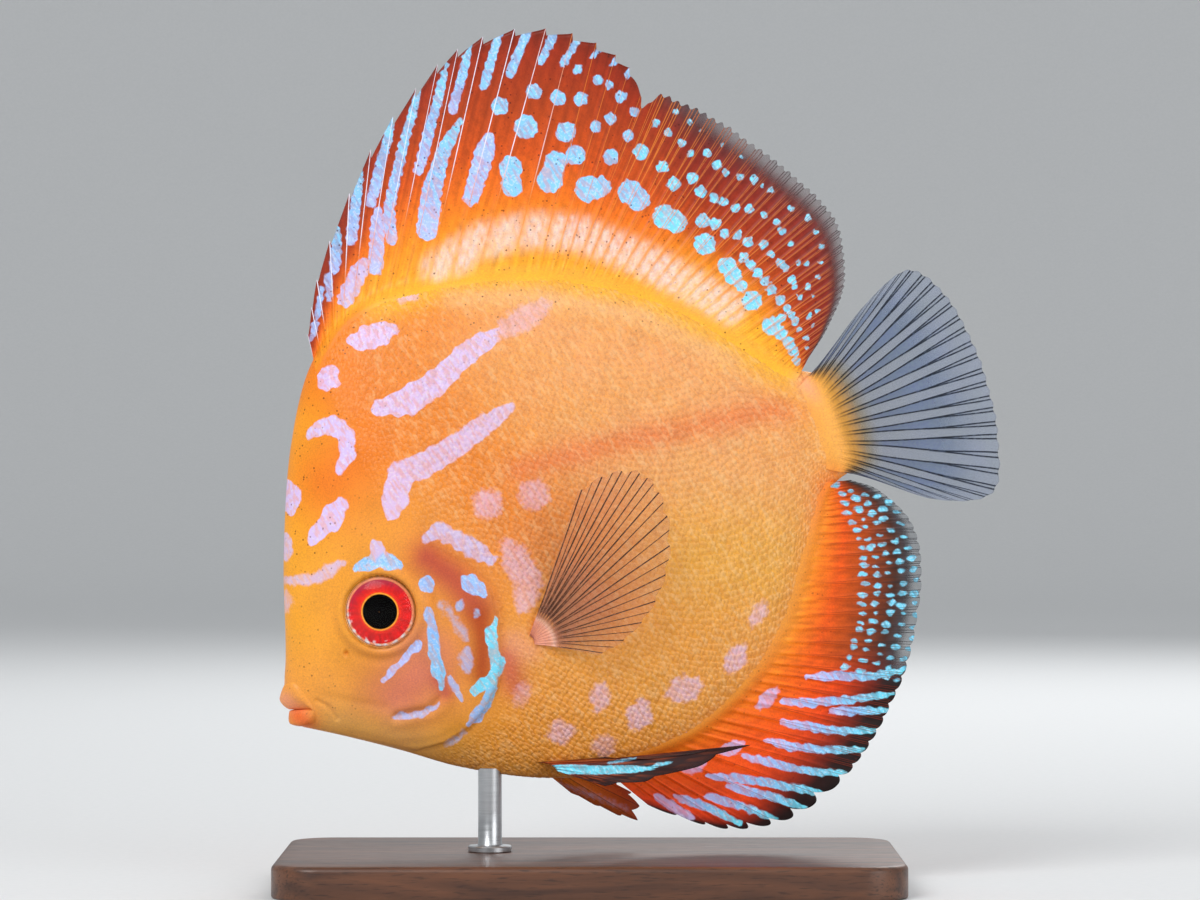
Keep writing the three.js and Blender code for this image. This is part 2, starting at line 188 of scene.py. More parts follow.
# Markings, read from the photo in its pixels. A stroke is (points, half width at its start
# and end, strength, tone), where tone 0 is lavender, 1 is light blue and 2 is bright cyan; a
# pair of tones is that at the start and at the end.
faceMarks = {
    "overEye": ([(358, 567), (381, 559), (403, 564)], 7, 7, 1.0, 1.1),
    "overEyeTop": ([(376, 540), (382, 556)], 5, 11, 0.8, 0.3),
    "behindEyeSpot": ([(427, 578), (431, 588)], 8, 8, 1.0, 0.9),
    "cheekBar": ([(429, 606), (435, 629), (437, 655), (444, 686)], 5, 6, 1.0, (0.8, 1.5)),
    "underEyeBar": ([(421, 641), (404, 659), (385, 679)], 5, 3, 1.0, (0.7, 0.4)),
    "gillTopSpot": ([(465, 577), (485, 591)], 8, 8, 1.0, 0.9),
    "gillInnerBar": ([(444, 602), (457, 619), (468, 636)], 4, 4, 0.5, 0.9),
    "gillInnerBlob": ([(468, 648), (469, 668)], 7, 7, 0.65, 0.8),
    "gillEdgeBar": ([(497, 616), (492, 630), (495, 650), (500, 663), (490, 680), (475, 688)],
                    5, 7, 1.0, 1.8),
    "gillLowBar": ([(494, 686), (486, 704), (470, 722)], 6, 5, 0.95, (1.4, 0.7)),
    "cheekLowBar": ([(451, 676), (464, 698)], 3.5, 3.5, 0.8, 0.8),
    "jawBar": ([(396, 715), (422, 713), (440, 702)], 3.5, 3, 0.8, 0.7),
    "throatBar": ([(448, 744), (465, 731)], 3, 3, 0.6, 0.8),
    "gillFleckA": ([(462, 604)], 4, 4, 0.7, 1.0),
    "gillFleckB": ([(478, 611)], 4, 4, 0.7, 1.2),
    "aboveGill": ([(427, 538), (442, 530), (466, 542), (492, 558)], 8, 10, 0.75, 0.4),
    "shoulderHaze": ([(510, 546), (530, 580), (524, 606)], 15, 12, 0.4, 0.1),
}
napeMarks = {
    "napeSpot": ([(326, 383), (332, 374)], 15, 15, 0.85, 0.15),
    "napeBand": ([(356, 342), (375, 337), (394, 330)], 13, 11, 0.9, 0.1),
    "backFaint": ([(404, 296), (414, 284)], 14, 12, 0.6, 0.0),
    "backFaintB": ([(446, 272), (462, 262)], 11, 8, 0.35, 0.0),
    "crescent": ([(312, 434), (334, 424), (349, 436), (350, 455), (341, 470)], 9, 8, 0.9, 0.2),
    "foreheadWedge": ([(344, 504), (330, 522), (311, 541)], 13, 7, 0.9, 0.15),
    "shoulderBand": ([(382, 408), (410, 402), (440, 382), (472, 350), (506, 330)], 15, 9, 0.85, 0.15),
    "shoulderFade": ([(500, 334), (545, 306)], 11, 12, 0.35, 0.0),
    "shoulderBandLow": ([(398, 470), (424, 466), (452, 450), (487, 424), (512, 408)], 14, 9, 0.75, 0.2),
    "shoulderTail": ([(404, 470), (394, 512)], 13, 13, 0.8, 0.15),
    "flankFaintA": ([(489, 503)], 14, 14, 0.45, 0.1),
    "flankFaintB": ([(535, 494)], 15, 15, 0.4, 0.1),
    "brow": ([(287, 488), (291, 506)], 16, 14, 0.9, 0.1),
    "browLow": ([(285, 536), (286, 556)], 8, 8, 0.75, 0.3),
    "snoutEdge": ([(287, 594), (288, 608)], 6, 6, 0.5, 0.2),
    "snoutStripe": ([(286, 580), (318, 578), (344, 562)], 5, 6, 0.65, 0.3),
}
flankMarks = {
    "flankA": ([(729, 668), (742, 648)], 9, 9, 0.55, 0.0),
    "flankB": ([(752, 622), (764, 604)], 7, 6, 0.45, 0.0),
    "flankC": ([(672, 692), (696, 684)], 13, 12, 0.5, 0.0),
    "flankD": ([(636, 722), (642, 704)], 13, 12, 0.5, 0.0),
    "flankE": ([(599, 704), (601, 686)], 10, 10, 0.45, 0.0),
    "flankF": ([(556, 733), (568, 729)], 14, 13, 0.45, 0.0),
    "flankG": ([(604, 745)], 11, 11, 0.35, 0.0),
    "flankH": ([(780, 657)], 8, 8, 0.5, 0.0),
    "flankI": ([(520, 700), (526, 684)], 8, 8, 0.25, 0.0),
    "analBaseA": ([(736, 716), (748, 710)], 7, 7, 0.7, 0.1),
    "analBaseB": ([(712, 733)], 9, 9, 0.65, 0.1),
    "analBaseC": ([(690, 742)], 9, 9, 0.6, 0.1),
    "upperFaint": ([(470, 244), (476, 228)], 9, 8, 0.4, 0.0),
}
dorsalStripes = [
    ([(337, 228), (335, 268)], 5, 6, 0.9, (1.5, 0.7)),
    ([(361, 168), (351, 240)], 4, 6, 0.95, (1.5, 0.7)),
    ([(393, 116), (382, 160), (371, 202)], 4, 6, 1.0, (1.5, 0.7)),
    ([(420, 86), (402, 150), (389, 209), (392, 240)], 4, 6, 1.0, (1.5, 0.7)),
    ([(378, 210), (376, 268)], 7, 8, 0.9, 0.7),
    ([(364, 262), (346, 299)], 9, 9, 0.8, 0.5),
    ([(447, 64), (433, 118), (419, 170)], 4, 6, 1.0, (1.5, 0.7)),
    ([(470, 46), (453, 110)], 4, 5, 1.0, (1.5, 0.7)),
    ([(461, 120), (444, 150), (432, 190), (427, 230)], 5, 12, 1.0, (1.5, 0.7)),
    ([(501, 27), (484, 86)], 4, 5, 1.0, 1.2),
    ([(531, 23), (510, 74)], 4, 5, 1.0, 1.2),
    ([(556, 31), (541, 62)], 4, 4, 1.0, 1.2),
    ([(580, 37), (563, 64)], 3, 4, 1.0, 1.2),
    ([(602, 47), (592, 57)], 3, 3, 1.0, 1.2),
    ([(620, 56), (612, 65)], 3, 3, 1.0, 1.2),
    ([(635, 64), (627, 76)], 3, 3, 1.0, 1.2),
    ([(489, 138), (480, 170), (471, 198)], 10, 9, 1.0, 0.8),
    ([(317, 318), (322, 288)], 3, 3, 0.9, 0.9),
    ([(312, 340), (316, 322)], 3, 3, 0.8, 0.8),
    ([(330, 300), (328, 276)], 3, 4, 0.8, 0.8),
]
dorsalSpots = {
    "rowOne": [(500, 106, 9), (534, 92, 8), (558, 98, 8), (581, 99, 7), (598, 80, 5), (578, 70, 5),
               (609, 85, 4), (621, 97, 6), (634, 112, 5)],
    "rowTwo": [(526, 127, 12), (566, 132, 10), (596, 127, 6), (611, 119, 6), (628, 136, 6), (641, 152, 8)],
    "rowThree": [(550, 180, 13), (556, 162, 11), (576, 155, 10), (611, 157, 8), (511, 168, 12),
                 (512, 186, 11)],
    "rowFour": [(588, 189, 13), (600, 187, 11), (630, 192, 12), (638, 199, 12), (665, 217, 12),
                (676, 222, 11)],
    "rowFive": [(705, 244, 11), (727, 266, 9), (733, 275, 9), (741, 286, 6), (752, 301, 10), (771, 326, 9)],
    "bead": [(656, 123, 4), (668, 133, 4), (682, 143, 4), (691, 153, 4), (707, 153, 4), (717, 164, 5),
             (726, 172, 4), (740, 177, 4), (754, 179, 4), (762, 185, 3), (771, 190, 3)],
    "beadTwo": [(663, 167, 6), (674, 184, 7), (692, 178, 6), (701, 192, 6), (714, 198, 5), (724, 202, 5),
                (736, 208, 5), (749, 209, 5), (764, 215, 4), (777, 222, 4), (782, 231, 4)],
    "beadThree": [(703, 221, 7), (715, 224, 6), (725, 233, 5), (738, 235, 5), (748, 242, 5), (764, 244, 5),
                  (771, 254, 4), (780, 263, 4), (785, 268, 4), (792, 280, 4), (795, 287, 3), (800, 297, 3)],
    "beadFour": [(744, 258, 5), (751, 265, 5), (758, 273, 5), (765, 281, 5), (772, 290, 5), (780, 300, 5),
                 (787, 308, 4), (791, 314, 4), (795, 321, 4), (799, 330, 3)],
    "beadFive": [(781, 334, 7), (789, 343, 6), (794, 352, 5), (797, 361, 4), (782, 318, 4)],
    "outer": [(791, 208, 3), (808, 218, 3), (816, 232, 3), (821, 247, 3), (791, 244, 3), (798, 263, 3),
              (807, 264, 3), (820, 263, 2), (818, 277, 2), (808, 287, 3), (813, 296, 2), (817, 311, 2),
              (809, 317, 3), (814, 326, 2), (807, 337, 3), (807, 349, 2), (700, 130, 2), (722, 144, 2),
              (742, 156, 2), (676, 112, 3), (690, 122, 3)],
}
analStripes = [
    ([(807, 677), (834, 676), (870, 677), (904, 671)], 4.9, 3.4, 1.0, (0.4, 2.0)),
    ([(783, 701), (807, 703), (850, 700), (895, 694)], 4.9, 3.4, 1.0, (0.4, 2.0)),
    ([(831, 711), (889, 711)], 4.9, 3.4, 1.0, (0.4, 2.0)),
    ([(782, 722), (806, 726), (837, 731), (877, 731)], 4.9, 3.4, 1.0, (0.4, 2.0)),
    ([(766, 740), (790, 746), (822, 750), (864, 750)], 4.9, 3.4, 1.0, (0.4, 2.0)),
    ([(744, 756), (775, 764), (812, 772), (846, 773)], 4.9, 3.4, 1.0, (0.4, 2.0)),
    ([(708, 776), (752, 780), (790, 787), (826, 794)], 4.9, 3.4, 1.0, (0.4, 2.0)),
    ([(728, 786), (768, 796), (806, 808)], 4.9, 3.4, 1.0, (0.4, 2.0)),
    ([(706, 796), (742, 806), (777, 820)], 4.9, 3.4, 1.0, (0.4, 2.0)),
    ([(676, 796), (708, 808), (741, 824)], 4.9, 3.4, 1.0, (0.4, 2.0)),
    ([(656, 796), (693, 818)], 5, 4, 0.8, 0.2),
    ([(722, 752), (742, 744)], 7, 6, 0.8, 0.2),
    ([(760, 706), (776, 690)], 7, 6, 0.75, 0.4),
    ([(686, 770), (704, 762)], 7, 6, 0.7, 0.1),
]


beadColumns = {
    "columns": 5, "most": 21,       # spots in the first column, and one less in each other
    "top": (838, 486),              # photo pixels, where the first column starts
    "step": (13, 4),                # from a column to the next
    "tall": 180, "bow": 26,         # length of a column, and how far it bows out
    "stray": 2.0, "radius": (1.7, 3.1),
}


# Small cyan spots of the upper anal fin, in columns that bow out along its edge as a sine.
def analBeads():
    beads = []
    draw = np.random.default_rng(3)
    stray = beadColumns["stray"]
    for column in range(beadColumns["columns"]):
        count = beadColumns["most"] - column
        for k in range(count):
            f = k / (count - 1)
            down = beadColumns["top"][1] + f * beadColumns["tall"]
            bow = beadColumns["bow"] * math.sin(math.pi * min(f * 0.9, 1))
            across = beadColumns["top"][0] + column * beadColumns["step"][0]
            across = across + bow + draw.uniform(-stray, stray)
            down = down + draw.uniform(-stray, stray) + column * beadColumns["step"][1]
            beads.append((across, down, draw.uniform(*beadColumns["radius"])))
    return beads


strokeEnds = {"startShare": 0.55, "run": 0.2, "farAway": 50.0, "faint": (0.4, 0.85), "softer": 5.0}


# Field of a set of marks: distance to the nearest mark's edge in mm, negative inside, and
# that mark's strength and tone. A stroke is drawn thinner over the last fifth at each end,
# and a pair of tones changes from its start to its end. Spots are drawn out along the
# photo's rows where squash is less than 1.
def markField(across, down, strokes, spots=(), endTaper=0.45, squash=1.0):
    edge = np.full(across.shape, strokeEnds["farAway"])
    strength = np.zeros(across.shape)
    tone = np.zeros(across.shape)
    for chain, startHalf, endHalf, power, hue in strokes:
        gap, along = chainDistance(across, down, chain)
        taper = 1.0
        if len(chain) > 1:
            taper = mix(strokeEnds["startShare"], 1.0, ease(0, strokeEnds["run"], along))
            taper = taper * (1 - endTaper * ease(1 - strokeEnds["run"], 1, along))
        inside = gap - mix(startHalf, endHalf, along) * taper
        nearer = inside < edge
        edge = np.where(nearer, inside, edge)
        strength = np.where(nearer, power, strength)
        first, last = hue if isinstance(hue, tuple) else (hue, hue)
        tone = np.where(nearer, mix(first, last, along), tone)
    for centre, drop, radius, hue in spots:
        inside = np.hypot((across - centre) * squash, down - drop) - radius
        nearer = inside < edge
        edge = np.where(nearer, inside, edge)
        strength = np.where(nearer, 1.0, strength)
        tone = np.where(nearer, hue, tone)
    # faint marks have softer edges, so their distances are drawn together
    edge = edge * pose["mmPerPixel"] / mix(strokeEnds["softer"], 1.0, ease(*strokeEnds["faint"], strength))
    return {"markEdge": edge, "markStrength": strength, "markTone": tone}


# Colour from a ground tone and a list of zones, each a chain of photo points that fades
# out over its radius, laid one over the other.
def zoneColour(across, down, ground, zones):
    colour = np.broadcast_to(linear(ground), across.shape + (3,)).copy()
    for chain, radius, code, power in zones:
        gap, _ = chainDistance(across, down, chain)
        weight = (power * np.exp(-(gap / radius) ** 2))[..., None]
        colour = mix(colour, linear(code), weight)
    return colour


# Body

body = {
    "length": 129.0,
    "profile": [    # distance back, back edge, belly edge, half width
        [0, 1.6, -4.6, 3.0], [3.6, 8.7, -6.7, 4.4], [10.4, 28.6, -11.0, 6.7], [19.7, 50.0, -17.3, 9.1],
        [30.4, 65.8, -25.0, 11.2], [45.4, 74.4, -32.9, 12.6], [60, 73.6, -36.9, 12.6],
        [82, 67.8, -36.0, 10.6], [98, 59.4, -28.8, 8.1], [110, 48.8, -17.0, 6.0],
        [118, 38.4, -5.6, 4.8], [124, 30.6, 3.2, 4.0], [129, 27.4, 5.4, 3.4],
    ],
    "noseRound": 2.8, "noseHeight": -1.5,
    "sectionPower": 2.1, "sectionEdge": 0.6,    # how full the oval is, and how sharp its edges
    # Height of the widest place as a share of the section, at the head and from this far back
    "waistHead": 0.4, "waistTrunk": 0.5, "waistReach": 60.0,
    "scaleDepth": 0.16,             # the skin lies this far inside the solids
    # Rings near the mouth: how far back and down their sides bend, and how far back they do so
    "mouthBack": 5.2, "mouthDrop": 0.52, "mouthReach": 22.0,
    "around": 360,                  # points round a ring of the skin
    "firstRing": 1.0, "frontTo": 50.0, "frontRings": 132, "rearRings": 74,
}
profile = smoothRows(body["profile"])


# Edges, widest height and half width of the section at a distance back: the profile's
# curves, drawn together over the rounded nose.
def section(back):
    top, bottom, half = np.moveaxis(profile(np.clip(back, 0, body["length"])), -1, 0)
    nose = np.sqrt(np.clip(1 - (1 - np.clip(back / body["noseRound"], 0, 1)) ** 2, 0, 1))
    top = mix(body["noseHeight"], top, nose)
    bottom = mix(body["noseHeight"], bottom, nose)
    waist = mix(bottom, top, mix(body["waistHead"], body["waistTrunk"], ease(0, body["waistReach"], back)))
    return top, bottom, waist, half * nose


# Half width of the body at a distance back and a height: a full oval section.
def halfWidth(back, height):
    top, bottom, waist, half = section(np.asarray(back, float))
    reach = np.where(height > waist, top - waist, waist - bottom)
    share = np.clip(np.abs(height - waist) / reach, 0, 1) ** body["sectionPower"]
    return half * (1 - share) ** body["sectionEdge"]


# Bare body surface at a distance back and an elevation round the section, -90 to 90 degrees
# in radians, on the side of the given sign.
def bodyPoint(back, elevation, side):
    top, bottom, waist, half = section(back)
    up = np.sin(elevation)
    height = waist + up * np.where(up > 0, top - waist, waist - bottom)
    bulge = (1 - np.abs(up) ** body["sectionPower"]).clip(0) ** body["sectionEdge"]
    return np.stack([back, side * half * bulge, height], -1)


# Outward normal of the bare body: the cross product of two short steps on the surface.
def bodyNormal(back, elevation, side):
    step = 0.25     # mm
    tilt = 0.012    # radians
    ahead = bodyPoint(back + step, elevation, side)
    along = ahead - bodyPoint(np.maximum(back - step, 0.01), elevation, side)
    lower = np.clip(elevation - tilt, -math.pi / 2, math.pi / 2)
    upper = np.clip(elevation + tilt, -math.pi / 2, math.pi / 2)
    around = bodyPoint(back, upper, side) - bodyPoint(back, lower, side)
    normal = np.cross(along, around) * -np.sign(side)[..., None]
    edge = np.abs(elevation) > math.pi / 2 - tilt * 1.5
    flatAlong = along * np.array([1.0, 0.0, 1.0])
    rim = np.stack([-flatAlong[..., 2], np.zeros(edge.shape), flatAlong[..., 0]], -1)
    rim = rim * np.sign(elevation)[..., None]
    normal = np.where(edge[..., None], rim, normal)
    return normal / np.maximum(np.linalg.norm(normal, axis=-1, keepdims=True), 1e-9)


head = {
    "eye": (26.4, 11.6),
    "nostril": (16.6, 5.8),
    # Gill cover: rise, the step down behind its edge and how far ahead it swells, in mm
    "coverRise": 0.75, "coverStep": (-0.25, 0.45), "coverSwell": 11.0,
    "coverTop": (510, 570), "coverFoot": (764, 738),    # photo rows over which it fades
    # Ridges and grooves: rise, distance from the line or the middle, and width, in mm
    "coverGroove": (-0.3, -0.55, 0.4), "frontGroove": (-0.42, 0.0, 0.7), "frontRidge": (0.3, 1.6, 1.2),
    "jawGroove": (-0.35, 0.0, 0.5), "cheekGroove": (-0.16, 0.0, 0.9), "throatGroove": (-0.12, 0.0, 0.8),
    "lineRidge": (0.1, 0.0, 0.45), "eyeRim": (0.6, 8.5, 0.9), "eyeGroove": (-0.22, 10.4, 0.8),
    "nostrilRim": (0.22, 0.85, 0.35), "nostrilPit": (-0.9, 0.0, 0.5),
    "eyePit": 3.6, "pitWall": (7.75, 6.9),
    "waver": 0.05, "waverGrain": 7.0,
    # Edges in the photo's pixels
    "gillEdge": [(404, 500), (430, 548), (466, 566), (492, 588), (501, 620), (503, 656), (499, 682),
                 (486, 708), (468, 727), (446, 741), (410, 752)],
    "frontCover": [(424, 566), (434, 600), (437, 640), (442, 672), (444, 694), (432, 707), (398, 714)],
    "jawFold": [(318, 700), (330, 706), (338, 718)],
    "cheekFold": [(326, 694), (350, 700), (392, 706)],
    "throatFold": [(352, 733), (396, 742), (436, 738), (462, 726)],
    "lateralLine": [(446, 520), (470, 486), (500, 450), (540, 420), (600, 396), (680, 384), (760, 392)],
}


# Height of the head's forms above the bare body, in mm: the gill cover that ends in a step,
# the fold ahead of it, the rim and the pit of the eye, the nostril and the folds of the jaw.
def headRelief(x, z):
    across, down = toPhoto(x, z)
    eyeGap = np.hypot(x - head["eye"][0], z - head["eye"][1])
    relief = np.zeros(x.shape)
    gap = chainDistance(across, down, head["gillEdge"])[0] * pose["mmPerPixel"]
    rear = np.interp(down, [p[1] for p in head["gillEdge"]], [p[0] for p in head["gillEdge"]])
    signed = np.where(across < rear, gap, -gap)
    reach = ease(*head["coverTop"], down) * ease(*head["coverFoot"], down)
    swell = np.exp(-(np.maximum(signed, 0) / head["coverSwell"]) ** 2)
    relief += reach * head["coverRise"] * ease(*head["coverStep"], signed) * swell
    relief += reach * ridgeAt(signed, head["coverGroove"])

    gap, along = chainDistance(across, down, head["frontCover"])
    gap = gap * pose["mmPerPixel"]
    relief += ridgeAt(gap, head["frontGroove"]) * ease(0, 0.15, along)
    relief += ridgeAt(gap, head["frontRidge"]) * ease(0, 0.2, along)

    for line, form in (("jawFold", "jawGroove"), ("cheekFold", "cheekGroove"),
                       ("throatFold", "throatGroove"), ("lateralLine", "lineRidge")):
        relief += ridgeAt(chainDistance(across, down, head[line])[0] * pose["mmPerPixel"], head[form])

    relief += ridgeAt(eyeGap, head["eyeRim"]) + ridgeAt(eyeGap, head["eyeGroove"])
    relief -= head["eyePit"] * ease(*head["pitWall"], eyeGap)
    nostrilGap = np.hypot(x - head["nostril"][0], z - head["nostril"][1])
    relief += ridgeAt(nostrilGap, head["nostrilRim"]) + ridgeAt(nostrilGap, head["nostrilPit"])
    return relief + head["waver"] * ripple(x, z, head["waverGrain"], 11)


# Finished skin surface: the bare body moved along its normal by the forms of the head,
# less the depth of the scales, and lifted where something lies on it.
def skinPoint(back, elevation, side, lift=0.0):
    bare = bodyPoint(back, elevation, side)
    rise = headRelief(bare[..., 0], bare[..., 2]) * ease(2.0, 8.0, back)
    # the forms fade out where the section turns over its sharp edges
    rise = rise * ease(1.0, 0.93, np.abs(np.sin(elevation)))
    offset = rise - body["scaleDepth"] + lift
    return bare + bodyNormal(back, elevation, side) * offset[..., None]


# Ground colours of the flesh: (chain of photo points, reach, colour, strength), where later
# zones lie over earlier ones.
fleshGround = "#ee9a3c"
fleshZones = {
    "upperFlank": ([(470, 330), (620, 350), (720, 400)], 80, "#f6a864", 0.85),
    "middleFlank": ([(600, 470), (700, 480), (760, 500)], 85, "#efa666", 0.8),
    "forehead": ([(300, 420), (290, 520), (292, 620)], 60, "#ffae2c", 0.95),
    "napeFront": ([(312, 362), (360, 320), (420, 300)], 58, "#f98a1c", 0.95),
    "foreheadGlow": ([(330, 480), (380, 440), (360, 380)], 46, "#f07a1e", 0.9),
    "shoulder": ([(400, 380), (460, 450), (520, 520)], 62, "#ec8222", 0.85),
    "snout": ([(288, 690), (330, 690)], 38, "#f4a244", 0.8),
    "upperLip": ([(286, 700), (300, 712)], 9, "#f9a27c", 0.8),
    "lowerLip": ([(300, 716), (308, 722)], 11, "#f06a2a", 0.95),
    "aroundEye": ([(360, 640), (330, 600)], 44, "#f0a038", 0.7),
    "cheekOlive": ([(382, 672), (372, 652)], 26, "#d98a2e", 0.6),
    "cheekRose": ([(398, 698), (425, 664)], 34, "#dc7c62", 0.9),
    "gillFront": ([(424, 640), (440, 650)], 20, "#d8825c", 0.7),
    "gillTop": ([(430, 556), (458, 578), (478, 604)], 20, "#c0503a", 0.95),
    "gillRear": ([(482, 616), (485, 640), (484, 672)], 13, "#ae3c14", 0.95),
    "cheekRed": ([(440, 676), (448, 690)], 9, "#c4524a", 0.75),
    "axil": ([(510, 656), (516, 684)], 14, "#c8484a", 0.9),
    "axilPale": ([(516, 640), (530, 650)], 14, "#e8a090", 0.6),
    "throat": ([(340, 725), (430, 748)], 24, "#e8ab5c", 0.9),
    "breast": ([(460, 745), (520, 765)], 26, "#dc9a3c", 0.8),
    "backEdge": ([(380, 305), (450, 284), (540, 280), (640, 300), (740, 350), (800, 385)],
                 17, "#ffb62a", 0.95),
    "backEdgeInner": ([(452, 300), (540, 297), (640, 316), (730, 362)], 11, "#f9b878", 0.7),
    "lateralBand": ([(520, 470), (600, 448), (680, 430), (760, 412), (830, 404)], 15, "#ea7c40", 0.8),
    "behindGill": ([(520, 540), (560, 520), (600, 520)], 34, "#e88434", 0.6),
    "lowerFlank": ([(700, 560), (760, 560)], 70, "#eaa83c", 0.85),
    "analFlank": ([(600, 640), (660, 680)], 75, "#eea03a", 0.85),
    "belly": ([(520, 740), (600, 755)], 45, "#f09a2e", 0.8),
    "underPectoral": ([(560, 560), (600, 600)], 40, "#dd8040", 0.6),
    "tailRoot": ([(812, 390), (836, 420), (842, 450)], 22, "#fdb450", 0.95),
    "tailRootTop": ([(806, 384), (822, 392)], 12, "#f7a888", 0.7),
    "analEdge": ([(625, 778), (700, 752), (760, 706), (808, 630), (828, 540), (832, 490)],
                 20, "#fa7c1c", 0.95),
}


# Where dark specks lie: a chain of photo points, reach in pixels and strength.
pepperPlaces = {
    "nape": ([(300, 560), (310, 400), (380, 310), (500, 290)], 70, 1.0),
    "snout": ([(300, 640), (330, 700)], 40, 0.8),
    "crown": ([(529, 293), (600, 296), (650, 312)], 26, 1.0),
}


# How far a point of the photo lies behind the border of the naked face, in pixels.
def behindFace(across, down):
    borderAcross, borderDown = np.array(scales["faceBorder"], float).T
    return across - np.interp(down, borderDown, borderAcross)


# Ground colour of the flesh at a place: the zones, with wide soft clouds over them.
def fleshTint(x, z):
    colour = zoneColour(*toPhoto(x, z), fleshGround, fleshZones.values())
    return (colour * (1 + 0.03 * ripple(x, z, 9.0, 5))[..., None]).clip(0, 1)


# All values that the flesh's material reads, from the place on the fish alone.
def fleshValues(points, rim=0.0):
    x, z = points[..., 0], points[..., 2]
    across, down = toPhoto(x, z)
    marks = [*faceMarks.values(), *napeMarks.values(), *flankMarks.values()]
    values = markField(across + 1.6 * ripple(x, z, 3.0, 21), down + 1.6 * ripple(x, z, 3.4, 22), marks)
    values["pepper"] = np.zeros(across.shape)
    for chain, reach, power in pepperPlaces.values():
        gap, _ = chainDistance(across, down, chain)
        values["pepper"] = np.maximum(values["pepper"], power * np.exp(-(gap / reach) ** 2))
    values["tint"] = fleshTint(x, z)
    values["scaly"] = ease(0, scales["borderFade"], behindFace(across, down))
    values["rim"] = np.broadcast_to(rim, x.shape)
    return values


# Mouth, in mm. Numbers that depend on where round the mouth they are read: flat is 1 at its
# corners and low is 1 at the middle of the lower lip.
mouth = {
    "slitFront": 0.9, "slitBack": 5.0, "slitHalf": 4.2, "slitHeight": -1.45, "slitDrop": -1.3, "gape": 0.16,
    "swellAhead": -0.95, "swellFlat": 0.3, "swellLow": 0.45, "swellSide": 0.75, "swellUp": 0.5,
    "lipCorner": 0.45, "lipMiddle": 1.0, "lipRows": 16,
    "throat": (5.4, 0.0, -2.0), "throatRings": (0.7, 0.4, 0.15), "throatRun": 2.0,
    "throatEnd": (7.2, 0.0, -2.2),
}


# Skin of the whole body in one mesh. Rings start inside the mouth, roll over the lips and
# run back to the root of the tail. Near the mouth they bend back at its corners.
def buildSkin():
    count = body["around"]
    angle = np.arange(count) * 2 * math.pi / count
    side = np.where(np.cos(angle) >= 0, 1.0, -1.0)
    flat = np.cos(angle) ** 2
    start, frontTo = body["firstRing"], body["frontTo"]
    front = start + (frontTo - start) * np.linspace(0, 1, body["frontRings"]) ** 1.25
    rings = np.concatenate([front, np.linspace(frontTo, body["length"], body["rearRings"])[1:]])[:, None]
    fade = 1 - ease(start, body["mouthReach"], rings)
    back = rings + body["mouthBack"] * flat * fade
    level = np.arcsin(np.clip(np.sin(angle), -1, 1))[None, :]
    elevation = level - body["mouthDrop"] * flat * fade
    sides = np.broadcast_to(side, back.shape)
    skin = skinPoint(back, np.broadcast_to(elevation, back.shape), sides)

    # lips: from the slit to the first ring, with a round swelling between
    crease = skin[0]
    sideways, upright = np.cos(angle), np.sin(angle)
    low = np.clip(-upright, 0, 1)
    slit = np.stack([mouth["slitFront"] + mouth["slitBack"] * flat, mouth["slitHalf"] * sideways,
                     mouth["slitHeight"] + mouth["slitDrop"] * flat + mouth["gape"] * upright], -1)
    swell = np.stack([mouth["swellAhead"] + mouth["swellFlat"] * flat + mouth["swellLow"] * low,
                      mouth["swellSide"] * sideways, mouth["swellUp"] * upright], -1)
    swell = swell / np.linalg.norm(swell, axis=-1, keepdims=True)
    height = mouth["lipCorner"] + mouth["lipMiddle"] * np.abs(upright) ** 0.7
    q = np.linspace(0, 1, mouth["lipRows"])[:-1, None, None]
    lips = mix(slit, crease, q) + swell * height[:, None] * np.sin(np.pi * q) ** 0.7
    inner = np.stack([mix(slit, np.array(mouth["throat"]), f) + np.array([mouth["throatRun"] * f, 0, 0])
                      for f in mouth["throatRings"]])
    grid = np.concatenate([inner, lips, skin])

    tip = np.array([mouth["throatEnd"]])
    tail = np.array([[body["length"] + 0.2, 0, float(section(np.array(body["length"]))[2])]])
    points = np.concatenate([tip, grid.reshape(-1, 3), tail])
    faces = gridFaces(len(grid), count, ring=True, start=1)[:, ::-1].tolist()
    around = np.arange(count)
    nextOne = (around + 1) % count
    lastRing = 1 + (len(grid) - 1) * count
    faces += np.stack([np.zeros(count, int), 1 + around, 1 + nextOne], -1).tolist()
    faces += np.stack([np.full(count, len(points) - 1), lastRing + nextOne, lastRing + around], -1).tolist()
    return makePiece("skin", points, faces, fleshValues(points))


# Scales

